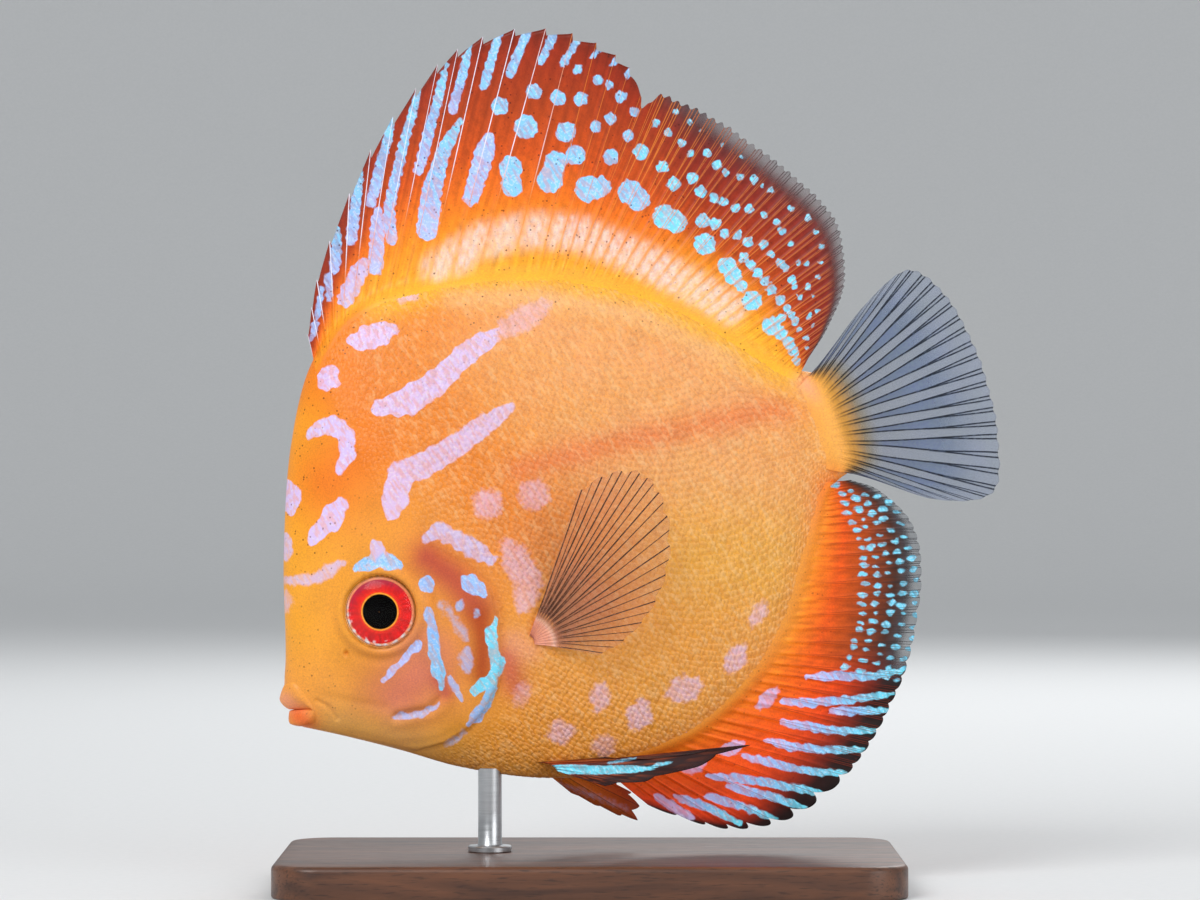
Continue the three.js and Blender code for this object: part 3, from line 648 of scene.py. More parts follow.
scales = {
    "spacing": 1.68,         # mm between scales along the body, on the flank
    "rowSpacing": 1.41,
    "length": 2.26,
    "halfWidth": 0.93,
    "rise": 0.08,            # mm, free edge above the skin
    "scatter": 0.3,          # mm, how far a scale strays from its place
    "arcPoints": 241,        # points along which the arc of a half section is measured
    "firstBack": 8.0, "tailGap": 0.6, "lowGap": 0.4, "highGap": 0.3,    # mm, left free at the edges
    # Size as a share near the face and at the root of the tail, and how far back it changes
    "faceSize": 0.74, "faceReach": (34, 56), "tailSize": 0.65, "tailReach": (108, 126),
    "youngSize": 0.7, "youngRise": 0.25,    # shares of a full scale's, just behind the naked face
    "sizeRange": (0.9, 1.1), "riseRange": (0.6, 1.3),
    "patch": 0.0015,         # half width of a scale's patch in the bake map
    # A scale's rows from its sunk root to its free edge, which turns down into a thin wall:
    # place along the scale, height as a share of the rise, width and how pale it is
    "rowPlace": (0.0, 0.5, 1.0, 1.02),
    "rowHeight": (-0.06, 0.05, 1.0, -0.25),
    "rowWidth": (0.75, 1.0, 0.84, 0.84),
    "rowPale": (0, 0.1, 1.0, 0.6),
    "pointsAcross": 5,
    "faceBorder": [(300, 300), (318, 360), (344, 430), (380, 500), (430, 548), (466, 566), (492, 588),
                   (501, 620), (503, 656), (499, 682), (486, 708), (468, 727), (446, 741), (420, 757)],
    "borderFade": 60.0,      # photo pixels over which the scales grow behind that border
}


# Places of the scales: columns at even steps back, in each of them even steps of arc length
# round the section, every second column shifted by half a step. The last number is the
# scale's growth, small just behind the naked face.
def scaleRoots():
    roots = []
    count = scales["arcPoints"]
    steps = np.linspace(-math.pi / 2, math.pi / 2, count)
    back = scales["firstBack"]
    column = 0
    while back < body["length"] - scales["tailGap"]:
        fineness = min(float(mix(scales["faceSize"], 1.0, ease(*scales["faceReach"], back))),
                       float(mix(1.0, scales["tailSize"], ease(*scales["tailReach"], back))))
        line = bodyPoint(np.full(count, back), steps, np.ones(count))
        arc = np.concatenate([[0], np.cumsum(np.linalg.norm(np.diff(line, axis=0), axis=-1))])
        pitch = scales["rowSpacing"] * fineness
        start = scales["lowGap"] + (column % 2) * pitch / 2
        places = np.arange(start, arc[-1] - scales["highGap"], pitch)
        level = np.interp(places, arc, steps)
        roots.append(np.stack([np.full(len(level), back), level, np.full(len(level), fineness)], -1))
        back += scales["spacing"] * fineness / 2
        column += 1
    roots = np.concatenate(roots)
    home = bodyPoint(roots[:, 0], roots[:, 1], np.ones(len(roots)))
    behind = behindFace(*toPhoto(home[:, 0], home[:, 2]))
    growth = ease(0, scales["borderFade"], behind)
    keep = behind > 2
    return np.concatenate([roots, growth[:, None]], 1)[keep]


# One mesh of small shields. Each is a grid of points across by rows from its sunk root to its
# raised, rounded free edge, laid on the skin along the body.
def buildScales(name, side):
    roots = scaleRoots()
    count = len(roots)
    young = mix(scales["youngSize"], 1.0, roots[:, 3])
    size = roots[:, 2] * young * rng.uniform(*scales["sizeRange"], count)
    shift = rng.uniform(-1, 1, (count, 2)) * scales["scatter"]
    a = np.linspace(-1, 1, scales["pointsAcross"])[None, None, :]
    b, lift, widths, pale = (np.array(scales[key])[None, :, None]
                             for key in ("rowPlace", "rowHeight", "rowWidth", "rowPale"))
    lift = lift * scales["rise"]
    sizes = size[:, None, None]
    out = b * (1 - 0.3 * a ** 2 * (b > 0.7)) - 0.45
    back = (roots[:, 0] + shift[:, 0])[:, None, None] + out * scales["length"] * sizes
    back = np.minimum(back, body["length"] + 0.4)
    top, bottom, _, _ = section(roots[:, 0])
    stretch = (top - bottom) / 2 * np.maximum(np.cos(roots[:, 1]), 0.18)
    across = shift[:, 1, None, None] + a * widths * scales["halfWidth"] * sizes
    level = roots[:, 1, None, None] + across / stretch[:, None, None]
    level = np.clip(level, -math.pi / 2 + 0.01, math.pi / 2 - 0.01)
    growth = mix(scales["youngRise"], 1.0, roots[:, 3]) * rng.uniform(*scales["riseRange"], count)
    crown = lift * sizes * (1 - 0.35 * a ** 2) * growth[:, None, None]
    back, level, crown = np.broadcast_arrays(back, level, crown)
    points = skinPoint(back, level, np.full(back.shape, side), crown)
    # the free edge is palest on its upper half, where light from above catches it
    edgeLight = pale * (0.45 + 0.55 * np.clip(a + 0.3, -1, 1))
    values = fleshValues(points, rim=(edgeLight * mix(0.3, 1.0, roots[:, 3])[:, None, None]).clip(0, 1))
    ids = np.arange(level.size).reshape(level.shape)
    first = ids[:, :-1, :-1]
    faces = np.stack([first, first + 1, ids[:, 1:, 1:], ids[:, 1:, :-1]], -1).reshape(-1, 4)
    if side < 0:
        faces = faces[:, ::-1]
    piece = makePiece(name, points, faces.tolist(), values)
    # bake map: a small patch for each scale, at its root's place on the unrolled skin
    mapU = roots[:, 0] / (body["length"] + 4) * 0.96 + 0.02
    mapV = (roots[:, 1] / math.pi + 0.5) * 0.46 + (0.02 if side < 0 else 0.52)
    patchU = mapU[:, None, None] + scales["patch"] * (2 * np.minimum(b, 1) - 1)
    patchV = mapV[:, None, None] + scales["patch"] * a
    grid = np.stack(np.broadcast_arrays(patchU, patchV), -1).reshape(-1, 2)
    layer = piece.data.uv_layers.new(name="OFBake")
    corners = np.empty(len(piece.data.loops), np.int32)
    piece.data.loops.foreach_get("vertex_index", corners)
    layer.data.foreach_set("uv", grid[corners].astype(np.float32).ravel())
    print(name, count, "scales")
    return piece


# Fins

# Rows of base and tip points, distance back and height in mm. bases tells which row of base
# points each tip's ray starts from, so that the rays lean back. plan gives the rays of each
# stretch: how many, to which share of the rows, whether they branch and how far the
# membrane falls back between them.
fins = {
    "dorsal": {
        "pairs": [
            [30.6, 63.6, 31.5, 71.5], [38.8, 70.4, 39.2, 84.3], [47.0, 72.6, 56.3, 102.6],
            [57.0, 72.2, 72.6, 113.6], [68.5, 70.4, 86.0, 118.0], [79.0, 67.4, 101.5, 114.6],
            [84.0, 65.4, 111.6, 106.4], [88.0, 63.8, 116.6, 96.6], [96.0, 58.8, 128.5, 84.2],
            [104.5, 52.6, 138.0, 70.0], [111.5, 45.4, 144.0, 56.4], [117.5, 37.4, 141.6, 43.8],
            [122.0, 31.4, 135.0, 35.6], [125.8, 28.2, 128.6, 30.6],
        ],
        "bases": [0, 0.6, 1.3, 2.1, 3.0, 4.1, 5.7, 7, 8, 9, 10, 11, 12, 13],
        "plan": [(17, 7 / 13, False, 0.06), (26, 1.0, True, 0.02)], "edge": "saw",
        "rootHalf": 1.7, "wave": [(0.8, 1.6), (2.2, 2.4)], "ridge": 0.34, "band": 0.05,
        "notches": [(17.3, 0.1, 0.5)],
        "sheath": [(440, 268), (480, 242), (529, 230), (580, 234), (640, 258), (690, 286), (728, 308)],
    },
    "anal": {
        "pairs": [
            [58.6, -35.4, 65.4, -46.8], [66.4, -35.6, 76.0, -55.0], [74.0, -35.4, 84.6, -58.4],
            [81.6, -34.2, 94.6, -58.7], [90.5, -30.6, 106.4, -54.4], [99.0, -25.6, 117.4, -46.5],
            [106.5, -18.6, 127.4, -35.6], [113.2, -9.6, 135.2, -20.8], [118.2, -2.4, 137.2, -9.4],
            [121.6, 2.0, 133.2, -0.6], [124.4, 4.6, 128.4, 3.6],
        ],
        "bases": [0, 0.42, 0.9, 1.55, 2.7, 4.1, 5.25, 6.58, 7.9, 9, 10],
        "plan": [(8, 4 / 10, False, 0.075), (28, 1.0, True, 0.02)], "edge": "lobes",
        "rootHalf": 1.6, "wave": [(0.6, 1.0), (2.0, 2.4)], "ridge": 0.34, "band": 0.04, "notches": [],
    },
    "caudal": {
        "pairs": [
            [127, 27.0, 131.6, 29.4], [127, 25.4, 144.0, 37.4], [127, 23.4, 155.2, 41.2],
            [127, 21.0, 160.6, 33.4], [127, 18.4, 162.4, 23.0], [127, 15.8, 162.3, 12.0],
            [127, 13.0, 160.6, 2.0], [127, 10.4, 155.6, -9.0], [127, 8.0, 144.0, -6.6],
            [127, 5.8, 131.6, 3.2],
        ],
        "bases": [0, 1, 2, 3, 4, 5, 6, 7, 8, 9],
        "plan": [(16, 1.0, True, 0.012)], "edge": "tassels",
        "rootHalf": 2.6, "wave": [(1.8, 2.0)], "ridge": 0.3, "band": 0.15, "notches": [],
    },
    "perRay": 12,            # grid columns for each ray
    "rows": 56,
    "membraneHalf": 0.13,
    "leastSpacing": 0.2,     # mm, below which the rays' lines don't thin any more
    "forks": [(0.25, 0.7), (0.55, 0.95)],    # shares of the fin over which rays part, and again
    "parting": (0.12, 0.07),                 # how far they part, as shares of the rays' spacing
    "ridgeWidth": (0.13, 0.08),              # at the root and at the margin, as such shares
    "rootRun": 0.45,                         # share of the fin over which its thick root thins
    "unevenTips": 0.012, "mostRays": 80,
    "bury": 4.0,             # mm that a fin's sheet runs on into the body, in this many rows
    "buryRows": 8,
    "sink": 0.75,            # mm that its sunk end lies under the body's surface
    "tailFade": 4.0,         # mm over which the flesh thins out into the tail fin
    "tintFade": 2.5,         # mm over which a fin's colour grows out of the flesh's
}
pectoral = {
    "root": (53.4, -4.9), "rootReach": 1.5, "spread": 0.42, "cup": 3.0, "rootSink": 1.6,
    "fan": [[52, 33], [44, 39.5], [36, 42.4], [27, 40.8], [14, 35.4], [0, 28.6], [-14, 21.8], [-30, 14.6]],
    "rays": 13, "perRay": 16, "rows": 60, "ridge": 0.1, "ridgeWidth": 0.14, "parting": (0.14, 0.1),
    "rootHalf": 1.2, "rootRun": (0.02, 0.3), "margin": 0.08, "scallop": 0.03,
    "lobe": 5.4,             # mm, radius of the fleshy root
    "lobeTone": "#eaa084", "rimTone": "#f6c4ae", "skinTone": "#cf8a6c", "rayTone": "#140806",
    "lineWidth": 0.26, "clear": 0.84,
}
pelvic = {
    "left": {
        "pairs": [[46.4, -29.4, 60.0, -33.0], [47.6, -30.0, 71.5, -37.4], [48.8, -30.8, 89.4, -41.0],
                  [49.4, -31.6, 70.5, -41.2], [49.6, -32.4, 58.0, -38.6]],
        "side": -4.4, "drift": -3.6,
        "ramp": [(0, "#d8662a"), (0.08, "#a03c16"), (0.2, "#5a1a0e"), (0.5, "#360e0a"), (1, "#240a0a")],
        "stripes": [([(536, 769), (570, 767), (600, 768), (652, 766)], 5.2, 3.4, 1.0, 1.9),
                    ([(654, 763), (672, 760)], 2.0, 1.0, 0.9, 1.8),
                    ([(608, 761), (636, 756)], 1.6, 1.0, 0.8, 1.6)],
    },
    "right": {
        "pairs": [[50.0, -30.4, 60.0, -39.6], [49.2, -31.0, 63.0, -44.2], [48.2, -31.6, 61.6, -48.8],
                  [47.2, -31.6, 56.0, -44.5], [46.2, -31.4, 50.3, -38.6]],
        "side": 3.2, "drift": 4.6,
        "ramp": [(0, "#f49430"), (0.5, "#e07424"), (1, "#b04a1c")],
        "stripes": [([(560, 786), (600, 800), (628, 812)], 1.6, 1.2, 0.4, 0.6)],
    },
    "rays": 7, "rows": 60, "ridge": 0.2, "ridgeWidth": 0.2, "rootHalf": 1.0, "rootRun": (0, 0.33),
    "margin": 0.1, "scallop": 0.1, "splay": 1.6, "leastSpacing": 0.15,    # splay is how far it opens, in mm
    "fringeTone": "#b45a22", "streakTone": "#a8481a", "rayTone": "#2c0c08", "lineWidth": 0.14,
}


# Columns of a fin: the ray number that each lies on or between, its share of the pairs'
# rows, the stretch it is in and its place in that stretch.
def finColumns(plan):
    number, share, stretch, local = [], [], [], []
    begin, total = 0.0, 0
    for index, (rays, end, _, _) in enumerate(plan):
        steps = rays * fins["perRay"]
        f = np.arange(steps + (1 if index == len(plan) - 1 else 0)) / steps
        number.append(total + f * rays)
        share.append(begin + f * (end - begin))
        stretch.append(np.full(len(f), index))
        local.append(f)
        begin, total = end, total + rays
    return [np.concatenate(v) for v in (number, share, stretch, local)]


# A ray parts in two and each half in two again: how far the parts lie from the ray's middle,
# as shares of the distance between rays, at a share along the fin.
def raySplit(v, first, second):
    early, late = fins["forks"]
    return first[0] + first[1] * ease(*early, v), second * ease(*late, v)


# Height of the rays' ridges, 0 to 1: a round ridge at each part of each ray. Folding the
# distance from the ray's middle twice gives the distance to the nearest of its four parts.
def rayRidge(number, split, width):
    off = np.abs(np.abs(number - np.round(number)) - split[0])
    return np.exp(-((off - split[1]) / width) ** 2)


# Values that draw the fine lines of the rays in the membrane's material. line is a ray's
# width in mm, and spacing the distance between rays.
def rayValues(number, split, spacing, line, code, cover):
    shape = np.broadcast(number, split[0], spacing).shape
    tint = linear(code) if isinstance(code, str) else code
    width = np.clip(line / spacing, 0.02, 0.3)
    return {"rayNumber": np.broadcast_to(number, shape), "rayFirst": np.broadcast_to(split[0], shape),
            "raySecond": np.broadcast_to(split[1], shape), "rayWidth": np.broadcast_to(width, shape),
            "rayTint": np.broadcast_to(tint, shape + (3,)), "rayCover": np.broadcast_to(cover, shape)}


# Closed sheet from a mid surface and a half thickness: both faces and the rim round them.
# The faces are turned round where the sheet's volume comes out negative.
def sheetPiece(name, middle, half, values, normal=(0.0, 1.0, 0.0)):
    columns, rows = middle.shape[:2]
    offset = half[..., None] * np.asarray(normal)
    points = np.concatenate([(middle + offset).reshape(-1, 3), (middle - offset).reshape(-1, 3)])
    upper = gridFaces(columns, rows)
    far = columns * rows
    rimIds = np.concatenate([
        np.arange(rows - 1), (rows - 1) + np.arange(columns - 1) * rows,
        (columns - 1) * rows + np.arange(rows - 1, 0, -1), np.arange(columns - 1, 0, -1) * rows])
    after = np.roll(rimIds, -1)
    edge = np.stack([after, rimIds, rimIds + far, after + far], -1)
    faces = np.concatenate([upper, upper[:, ::-1] + far, edge])
    a, b, c, d = (points[faces[:, k]] for k in range(4))
    volume = (a * (np.cross(b, c) + np.cross(c, d))).sum()
    if volume < 0:
        faces = faces[:, ::-1]
    doubled = {key: np.concatenate([np.asarray(v).reshape(far, -1)] * 2) for key, v in values.items()}
    return makePiece(name, points, faces.tolist(), doubled)


# A fin of the middle plane: straight rays from base to tip, waved to either side more and
# more towards the margin. Near its base the half thickness is the cube root of the sum of
# cubes of the sheet's and the body's own, so that the skin runs up it without a crease.
def middleFin(name, fin, paint):
    number, share, stretch, local = finColumns(fin["plan"])
    rows = evenRows(fin["pairs"])
    base = rows(evenRows([[b] for b in fin["bases"]])(share)[:, 0] / fin["bases"][-1])[:, :2]
    tip = rows(share)[:, 2:]
    branched = np.array([p[2] for p in fin["plan"]], float)[stretch]
    scallop = np.array([p[3] for p in fin["plan"]])[stretch]
    after = number - np.floor(number)
    fringes = {
        "saw": (1 - after) ** 0.7 * ease(0, 0.08, after) * mix(1.3, 0.5, ease(0.2, 0.7, local)),
        "lobes": np.abs(2 * after - 1) ** 2.5,
        "tassels": 0.5 - 0.5 * np.cos(after * 4 * np.pi),
    }
    soft = "lobes" if fin["edge"] == "lobes" else "tassels"
    fringe = np.where(branched > 0, fringes[soft], fringes[fin["edge"]])
    most = fins["mostRays"]
    lengths = 1 - fins["unevenTips"] * np.random.default_rng(len(name)).uniform(0, 1, most)
    reach = np.interp(number, np.arange(most), lengths) * (1 - scallop * fringe)
    for place, depth, width in fin["notches"]:
        reach = reach * (1 - depth * np.exp(-((number - place) / width) ** 2))
    length = np.hypot(*(tip - base).T)[:, None]
    sunk = fins["bury"] * np.linspace(-1, 0, fins["buryRows"] + 1)[None, :-1] / length
    v = np.concatenate([sunk, np.linspace(0, 1, fins["rows"])[None, :] ** 0.9 * reach[:, None]], 1)
    x = mix(base[:, None, 0], tip[:, None, 0], v)
    z = mix(base[:, None, 1], tip[:, None, 1], v)
    run = v * length
    v = np.clip(v, 0, 1)
    wave = np.zeros(x.shape)
    carried = 0.0
    for index, (size, waves) in enumerate(fin["wave"]):
        here = (stretch == index)
        sway = size * np.sin(np.pi * waves * local) + carried * (1 - local) ** 4
        wave[here] = (v ** 2 * sway[:, None])[here]
        carried = size * math.sin(math.pi * waves)
    spacing = np.hypot(np.gradient(x, axis=0), np.gradient(z, axis=0)) * fins["perRay"]
    branch = branched[:, None]
    first, second = fins["parting"]
    split = raySplit(v, (fin["band"] * branch, first * branch), second * branch)
    ridge = rayRidge(number[:, None], split, mix(*fins["ridgeWidth"], v))
    rootward = (1 - np.clip(v / fins["rootRun"], 0, 1)) ** 2.2
    sheet = mix(fins["membraneHalf"], fin["rootHalf"], rootward)
    end = body["length"]
    flesh = halfWidth(np.minimum(x, end), z) * ease(end + fins["tailFade"], end, x)
    half = (sheet ** 3 + flesh ** 3) ** (1 / 3) - fins["sink"] * ease(1.0, -fins["bury"], run)
    half = half + fin["ridge"] * ridge * (1 - 0.8 * v) * ease(0.0, 0.12, v)
    values = paint(x, z, number[:, None] + 0 * v, v, split, np.maximum(spacing, fins["leastSpacing"]))
    values["tint"] = mix(fleshTint(x, z), values["tint"], ease(-1.0, fins["tintFade"], run)[..., None])
    return sheetPiece(name, np.stack([x, wave, z], -1), half, values)


# Colours across a fin from root to margin: rows of share and colour.
def rampColour(v, stops):
    places = [s[0] for s in stops]
    colours = np.array([linear(s[1]) for s in stops])
    return np.stack([np.interp(v, places, colours[:, k]) for k in range(3)], -1)


# Paint of the fins. A ramp is rows of (share from root to margin, colour). A pair ending in
# Across or Down is where something begins and where it is full, in the photo's pixels.
finPaint = {
    "dorsal": {
        "front": [(0, "#ffb22e"), (0.08, "#fca224"), (0.2, "#f8901c"), (0.34, "#f07418"),
                  (0.5, "#d05212"), (0.7, "#b04012"), (0.9, "#9c2e10"), (1, "#6c1c0c")],
        "rear": [(0, "#ffb834"), (0.16, "#fdaa26"), (0.3, "#f08a1a"), (0.42, "#c04c10"),
                 (0.6, "#a0300c"), (0.8, "#842418"), (0.92, "#60302e"), (1, "#5a4c50")],
        "rearAcross": (640, 700), "tipTone": "#8a2c18", "tipAcross": (400, 330),
        "sheathTone": "#eedcd0", "sheathReach": 18,
        # the spine tone is a painted highlight along the spines, in the rays' lines
        "rayTone": "#f08a34", "spineHighlightTone": "#f4f0ff", "spineHighlightAcross": (580, 520),
        "rustTone": "#cc7038", "rustAcross": (660, 720), "darkTone": "#4a3a40", "darkAcross": (720, 780),
        "lineWidth": 0.21, "clear": 0.72, "clearAcross": (660, 740),
    },
    "anal": {
        "middle": [(0, "#fc921e"), (0.2, "#fc7012"), (0.42, "#f8580c"), (0.6, "#dc420c"),
                   (0.76, "#8a240c"), (0.87, "#2c0e0a"), (1, "#140a0a")],
        "upper": [(0, "#fba22e"), (0.14, "#f87e1a"), (0.3, "#ea5a12"), (0.42, "#c8500e"),
                  (0.6, "#8e3c16"), (0.78, "#4a281c"), (0.92, "#4c5056"), (1, "#5c646c")],
        "low": [(0, "#fc7e1c"), (0.3, "#ff5a10"), (0.7, "#fa480c"), (0.86, "#b02c0c"),
                (0.94, "#34100c"), (1, "#180a0a")],
        "upperDown": (690, 640), "lowAcross": (800, 720), "spotTone": 1.7, "squash": 0.62,
        "rayTone": "#7a2408", "greyTone": "#2c2624", "lineWidth": 0.14, "clear": 0.78,
    },
    "caudal": {
        "ramp": [(0, "#f7ac58"), (0.06, "#f4ac4c"), (0.13, "#d29844"), (0.22, "#8c7c5c"),
                 (0.3, "#6c7890"), (0.7, "#6c7e9c"), (1, "#7c8ca8")],
        "edgeTone": "#4a4460", "edgeReach": 0.8,      # rays over which the corners' tone fades
        "rayTone": "#10141e", "lineWidth": 0.3, "clear": 0.72,
    },
}


# Brightness of a fin's pigment, about 1: fine clouds, and streaks drawn out along the rays.
def pigment(x, z, number, v, grain, seeds):
    streaks = ripple(number * 4, v * 4, 1.3, seeds[1])
    return (1 + 0.1 * ripple(x, z, grain, seeds[0]) + 0.14 * streaks)[..., None]


# Values of the back fin: yellow sheath, orange middle and rust margin, with pale columns
# over the sheath, blue stripes and spots outside it, and near white ray lines over its front as a
# painted highlight along the spines.
def paintDorsal(x, z, number, v, split, spacing):
    look = finPaint["dorsal"]
    across, down = toPhoto(x, z)
    rear = ease(*look["rearAcross"], across)[..., None]
    colour = mix(rampColour(v, look["front"]), rampColour(v, look["rear"]), rear)
    tip = ease(*look["tipAcross"], across) * ease(0.25, 0.7, v)
    colour = mix(colour, linear(look["tipTone"]), tip[..., None] * 0.7)
    colour = colour * pigment(x, z, number, v, 2.2, (32, 35))
    sheath, _ = chainDistance(across, down, fins["dorsal"]["sheath"])
    column = 0.5 + 0.5 * np.cos(2 * np.pi * (number - 0.5))
    pale = np.exp(-(sheath / look["sheathReach"]) ** 4) * (0.35 + 0.65 * column ** 0.5)
    pale = pale * (0.9 + 0.3 * ripple(x, z, 1.6, 31)) * (0.85 + 0.25 * ripple(x, z, 0.7, 36))
    colour = mix(colour, linear(look["sheathTone"]), (0.95 * pale).clip(0, 0.82)[..., None])
    spots = [(a, d, r, 1.7 if a > look["rearAcross"][0] else 1.3)
             for row in dorsalSpots.values() for a, d, r in row]
    strayed = (across + 1.2 * ripple(x, z, 1.8, 33), down + 1.2 * ripple(x, z, 2.0, 34))
    values = markField(*strayed, dorsalStripes, spots, endTaper=0.1)
    values["tint"] = colour.clip(0, 1)
    # the rays' lines turn near white over the outer half of the front: a painted highlight along the spines
    spineHighlight = ease(*look["spineHighlightAcross"], across) * ease(0.3, 0.55, v)
    rust = ease(*look["rustAcross"], across) * ease(0.5, 0.7, v)
    dark = ease(*look["darkAcross"], across) * ease(0.8, 0.92, v)
    line = linear(look["rayTone"])
    for share, tone in ((spineHighlight, "spineHighlightTone"), (rust, "rustTone"), (dark, "darkTone")):
        line = mix(line, linear(look[tone]), share[..., None])
    cover = mix(0.6, 0.95, spineHighlight) * ease(0.1, 0.25, v)
    values.update(rayValues(number, split, spacing, look["lineWidth"], line, cover))
    values["clear"] = look["clear"] * ease(0.84, 0.97, v) * ease(*look["clearAcross"], across)
    values["pepper"] = 1.0 + 0 * v
    return values


# Values of the anal fin: orange at the body, maroon-black at the margin, cyan stripes.
def paintAnal(x, z, number, v, split, spacing):
    look = finPaint["anal"]
    across, down = toPhoto(x, z)
    grey = ease(*look["upperDown"], down)
    colour = mix(rampColour(v, look["middle"]), rampColour(v, look["upper"]), grey[..., None])
    colour = mix(colour, rampColour(v, look["low"]), ease(*look["lowAcross"], across)[..., None])
    colour = colour * pigment(x, z, number, v, 2.0, (42, 45))
    spots = [(a, d, r, look["spotTone"]) for a, d, r in analBeads()]
    strayed = (across + ripple(x, z, 1.8, 43), down + ripple(x, z, 2.0, 44))
    values = markField(*strayed, analStripes, spots, squash=look["squash"])
    values["tint"] = colour.clip(0, 1)
    line = mix(linear(look["rayTone"]), linear(look["greyTone"]), (ease(0.5, 0.8, v) * grey)[..., None])
    cover = mix(0.5, 0.7, ease(0.6, 0.9, v)) * ease(0.1, 0.3, v)
    values.update(rayValues(number, split, spacing, look["lineWidth"], line, cover))
    values["clear"] = look["clear"] * ease(0.83, 0.95, v) * grey
    values["pepper"] = 0.5 + 0 * v
    return values


# Values of the tail fin: a clear grey-blue membrane with dark rays and darker corner edges.
def paintCaudal(x, z, number, v, split, spacing):
    look = finPaint["caudal"]
    total = fins["caudal"]["plan"][0][0]
    edge = np.exp(-np.minimum(number, total - number) / look["edgeReach"])
    corner = (0.85 * edge * ease(0.04, 0.14, v))[..., None]
    colour = mix(rampColour(v, look["ramp"]), linear(look["edgeTone"]), corner)
    values = markField(*toPhoto(x, z), [])
    values["tint"] = colour.clip(0, 1)
    band = np.abs(number - np.round(number)) < split[0]
    cover = 0.96 * ease(0.05, 0.2, v)
    values.update(rayValues(number, split, spacing, look["lineWidth"], look["rayTone"], cover))
    clear = look["clear"] * ease(0.08, 0.3, v) * (1 - 0.6 * band * ease(0.95, 0.5, v)) * (1 - 0.75 * edge)
    values["clear"] = clear.clip(0, 1)
    values["pepper"] = 0 * v
    return values


# A fan from the flank: rays from the root at even shares of the fan's angle, leaning out
# from the body and cupped towards it in the middle.
def pectoralFin(name, side):
    rays = pectoral["rays"]
    number = np.linspace(0, rays - 1, (rays - 1) * pectoral["perRay"] + 1)
    curve = evenRows(pectoral["fan"])(number / (rays - 1))
    v = np.linspace(0, 1, pectoral["rows"])[None, :]
    between = 2 * np.abs(number - np.round(number))
    reach = (curve[:, 1] * (1 - pectoral["scallop"] * between ** 1.5))[:, None]
    out = mix(pectoral["rootReach"], reach, v)
    angle = np.radians(curve[:, 0])[:, None]
    share = (number / (rays - 1))[:, None]
    x = pectoral["root"][0] + out * np.cos(angle)
    z = pectoral["root"][1] + out * np.sin(angle)
    root = float(halfWidth(*pectoral["root"])) - pectoral["rootSink"]
    y = side * (root + pectoral["spread"] * out - pectoral["cup"] * v ** 2 * (1 - 2 * np.abs(share - 0.5)))
    y = np.broadcast_to(y, x.shape)
    spacing = np.hypot(np.gradient(x, axis=0), np.gradient(z, axis=0)) * pectoral["perRay"]
    split = raySplit(v, pectoral["parting"], 0.0)
    ridge = rayRidge(number[:, None], split, pectoral["ridgeWidth"])
    half = mix(pectoral["rootHalf"], pectoral["margin"], ease(*pectoral["rootRun"], v))
    half = half + pectoral["ridge"] * ridge * (1 - 0.6 * v)
    lobe = ease(pectoral["lobe"] + 1.0, pectoral["lobe"] - 0.6, out)
    colour = mix(linear(pectoral["skinTone"]), linear(pectoral["lobeTone"]), lobe[..., None])
    rim = ridgeAt(out, (0.8, pectoral["lobe"], 0.5))
    colour = mix(colour, linear(pectoral["rimTone"]), rim[..., None])
    blank = 0 * x
    values = {"tint": colour, "pepper": blank, "markEdge": strokeEnds["farAway"] + blank,
              "markStrength": blank, "markTone": blank}
    cover = 0.95 * ease(pectoral["lobe"], pectoral["lobe"] + 2.0, out)
    spacing = np.maximum(spacing, fins["leastSpacing"])
    values.update(rayValues(number[:, None], split, spacing, pectoral["lineWidth"],
                            pectoral["rayTone"], cover))
    values["clear"] = pectoral["clear"] * (1 - lobe) * mix(0.7, 1.0, ease(0.2, 0.6, v))
    normal = np.array([-0.35, side * 1.0, 0.0])
    return sheetPiece(name, np.stack([x, y, z], -1), half, values, normal / np.linalg.norm(normal))


# A pelvic fin: a narrow fan whose middle rays run out into a thread.
def pelvicFin(name, key):
    form = pelvic[key]
    rays = pelvic["rays"]
    number = np.linspace(0, rays - 1, (rays - 1) * fins["perRay"] + 1)
    share = number / (rays - 1)
    curve = evenRows(form["pairs"])(share)
    between = 2 * np.abs(number - np.round(number))
    reach = 1 - pelvic["scallop"] * between ** 1.2
    v = np.linspace(0, 1, pelvic["rows"])[None, :] * reach[:, None]
    x = mix(curve[:, None, 0], curve[:, None, 2], v)
    z = mix(curve[:, None, 1], curve[:, None, 3], v)
    splay = (share[:, None] - 0.5) * pelvic["splay"] * np.sign(form["side"])
    y = form["side"] + form["drift"] * v ** 0.5 + splay
    spacing = np.hypot(np.gradient(x, axis=0), np.gradient(z, axis=0)) * fins["perRay"]
    split = (0 * v, 0 * v)
    ridge = rayRidge(number[:, None], split, pelvic["ridgeWidth"])
    half = mix(pelvic["rootHalf"], pelvic["margin"], ease(*pelvic["rootRun"], v))
    half = half + pelvic["ridge"] * ridge * (1 - 0.6 * v)
    colour = rampColour(v, form["ramp"])
    if key == "left":
        fringe = ease(0.4, 0.1, share)[:, None] * ease(1, 0.6, v)
        colour = mix(colour, linear(pelvic["fringeTone"]), fringe[..., None])
        streaks = ease(0.1, 0.7, ripple(number[:, None] * 5, v * 4, 1.3, 46)) * ease(1, 0.5, v)
        colour = mix(colour, linear(pelvic["streakTone"]), (0.7 * streaks)[..., None])
    values = markField(*toPhoto(x, z), form["stripes"])
    spacing = np.maximum(spacing, pelvic["leastSpacing"])
    values.update(rayValues(number[:, None], split, spacing, pelvic["lineWidth"], pelvic["rayTone"], 0.75))
    values.update({"tint": colour.clip(0, 1), "pepper": 0 * x, "clear": 0.1 * ease(0.7, 1, v)})
    return sheetPiece(name, np.stack([x, y, z], -1), half, values)


# Eyes

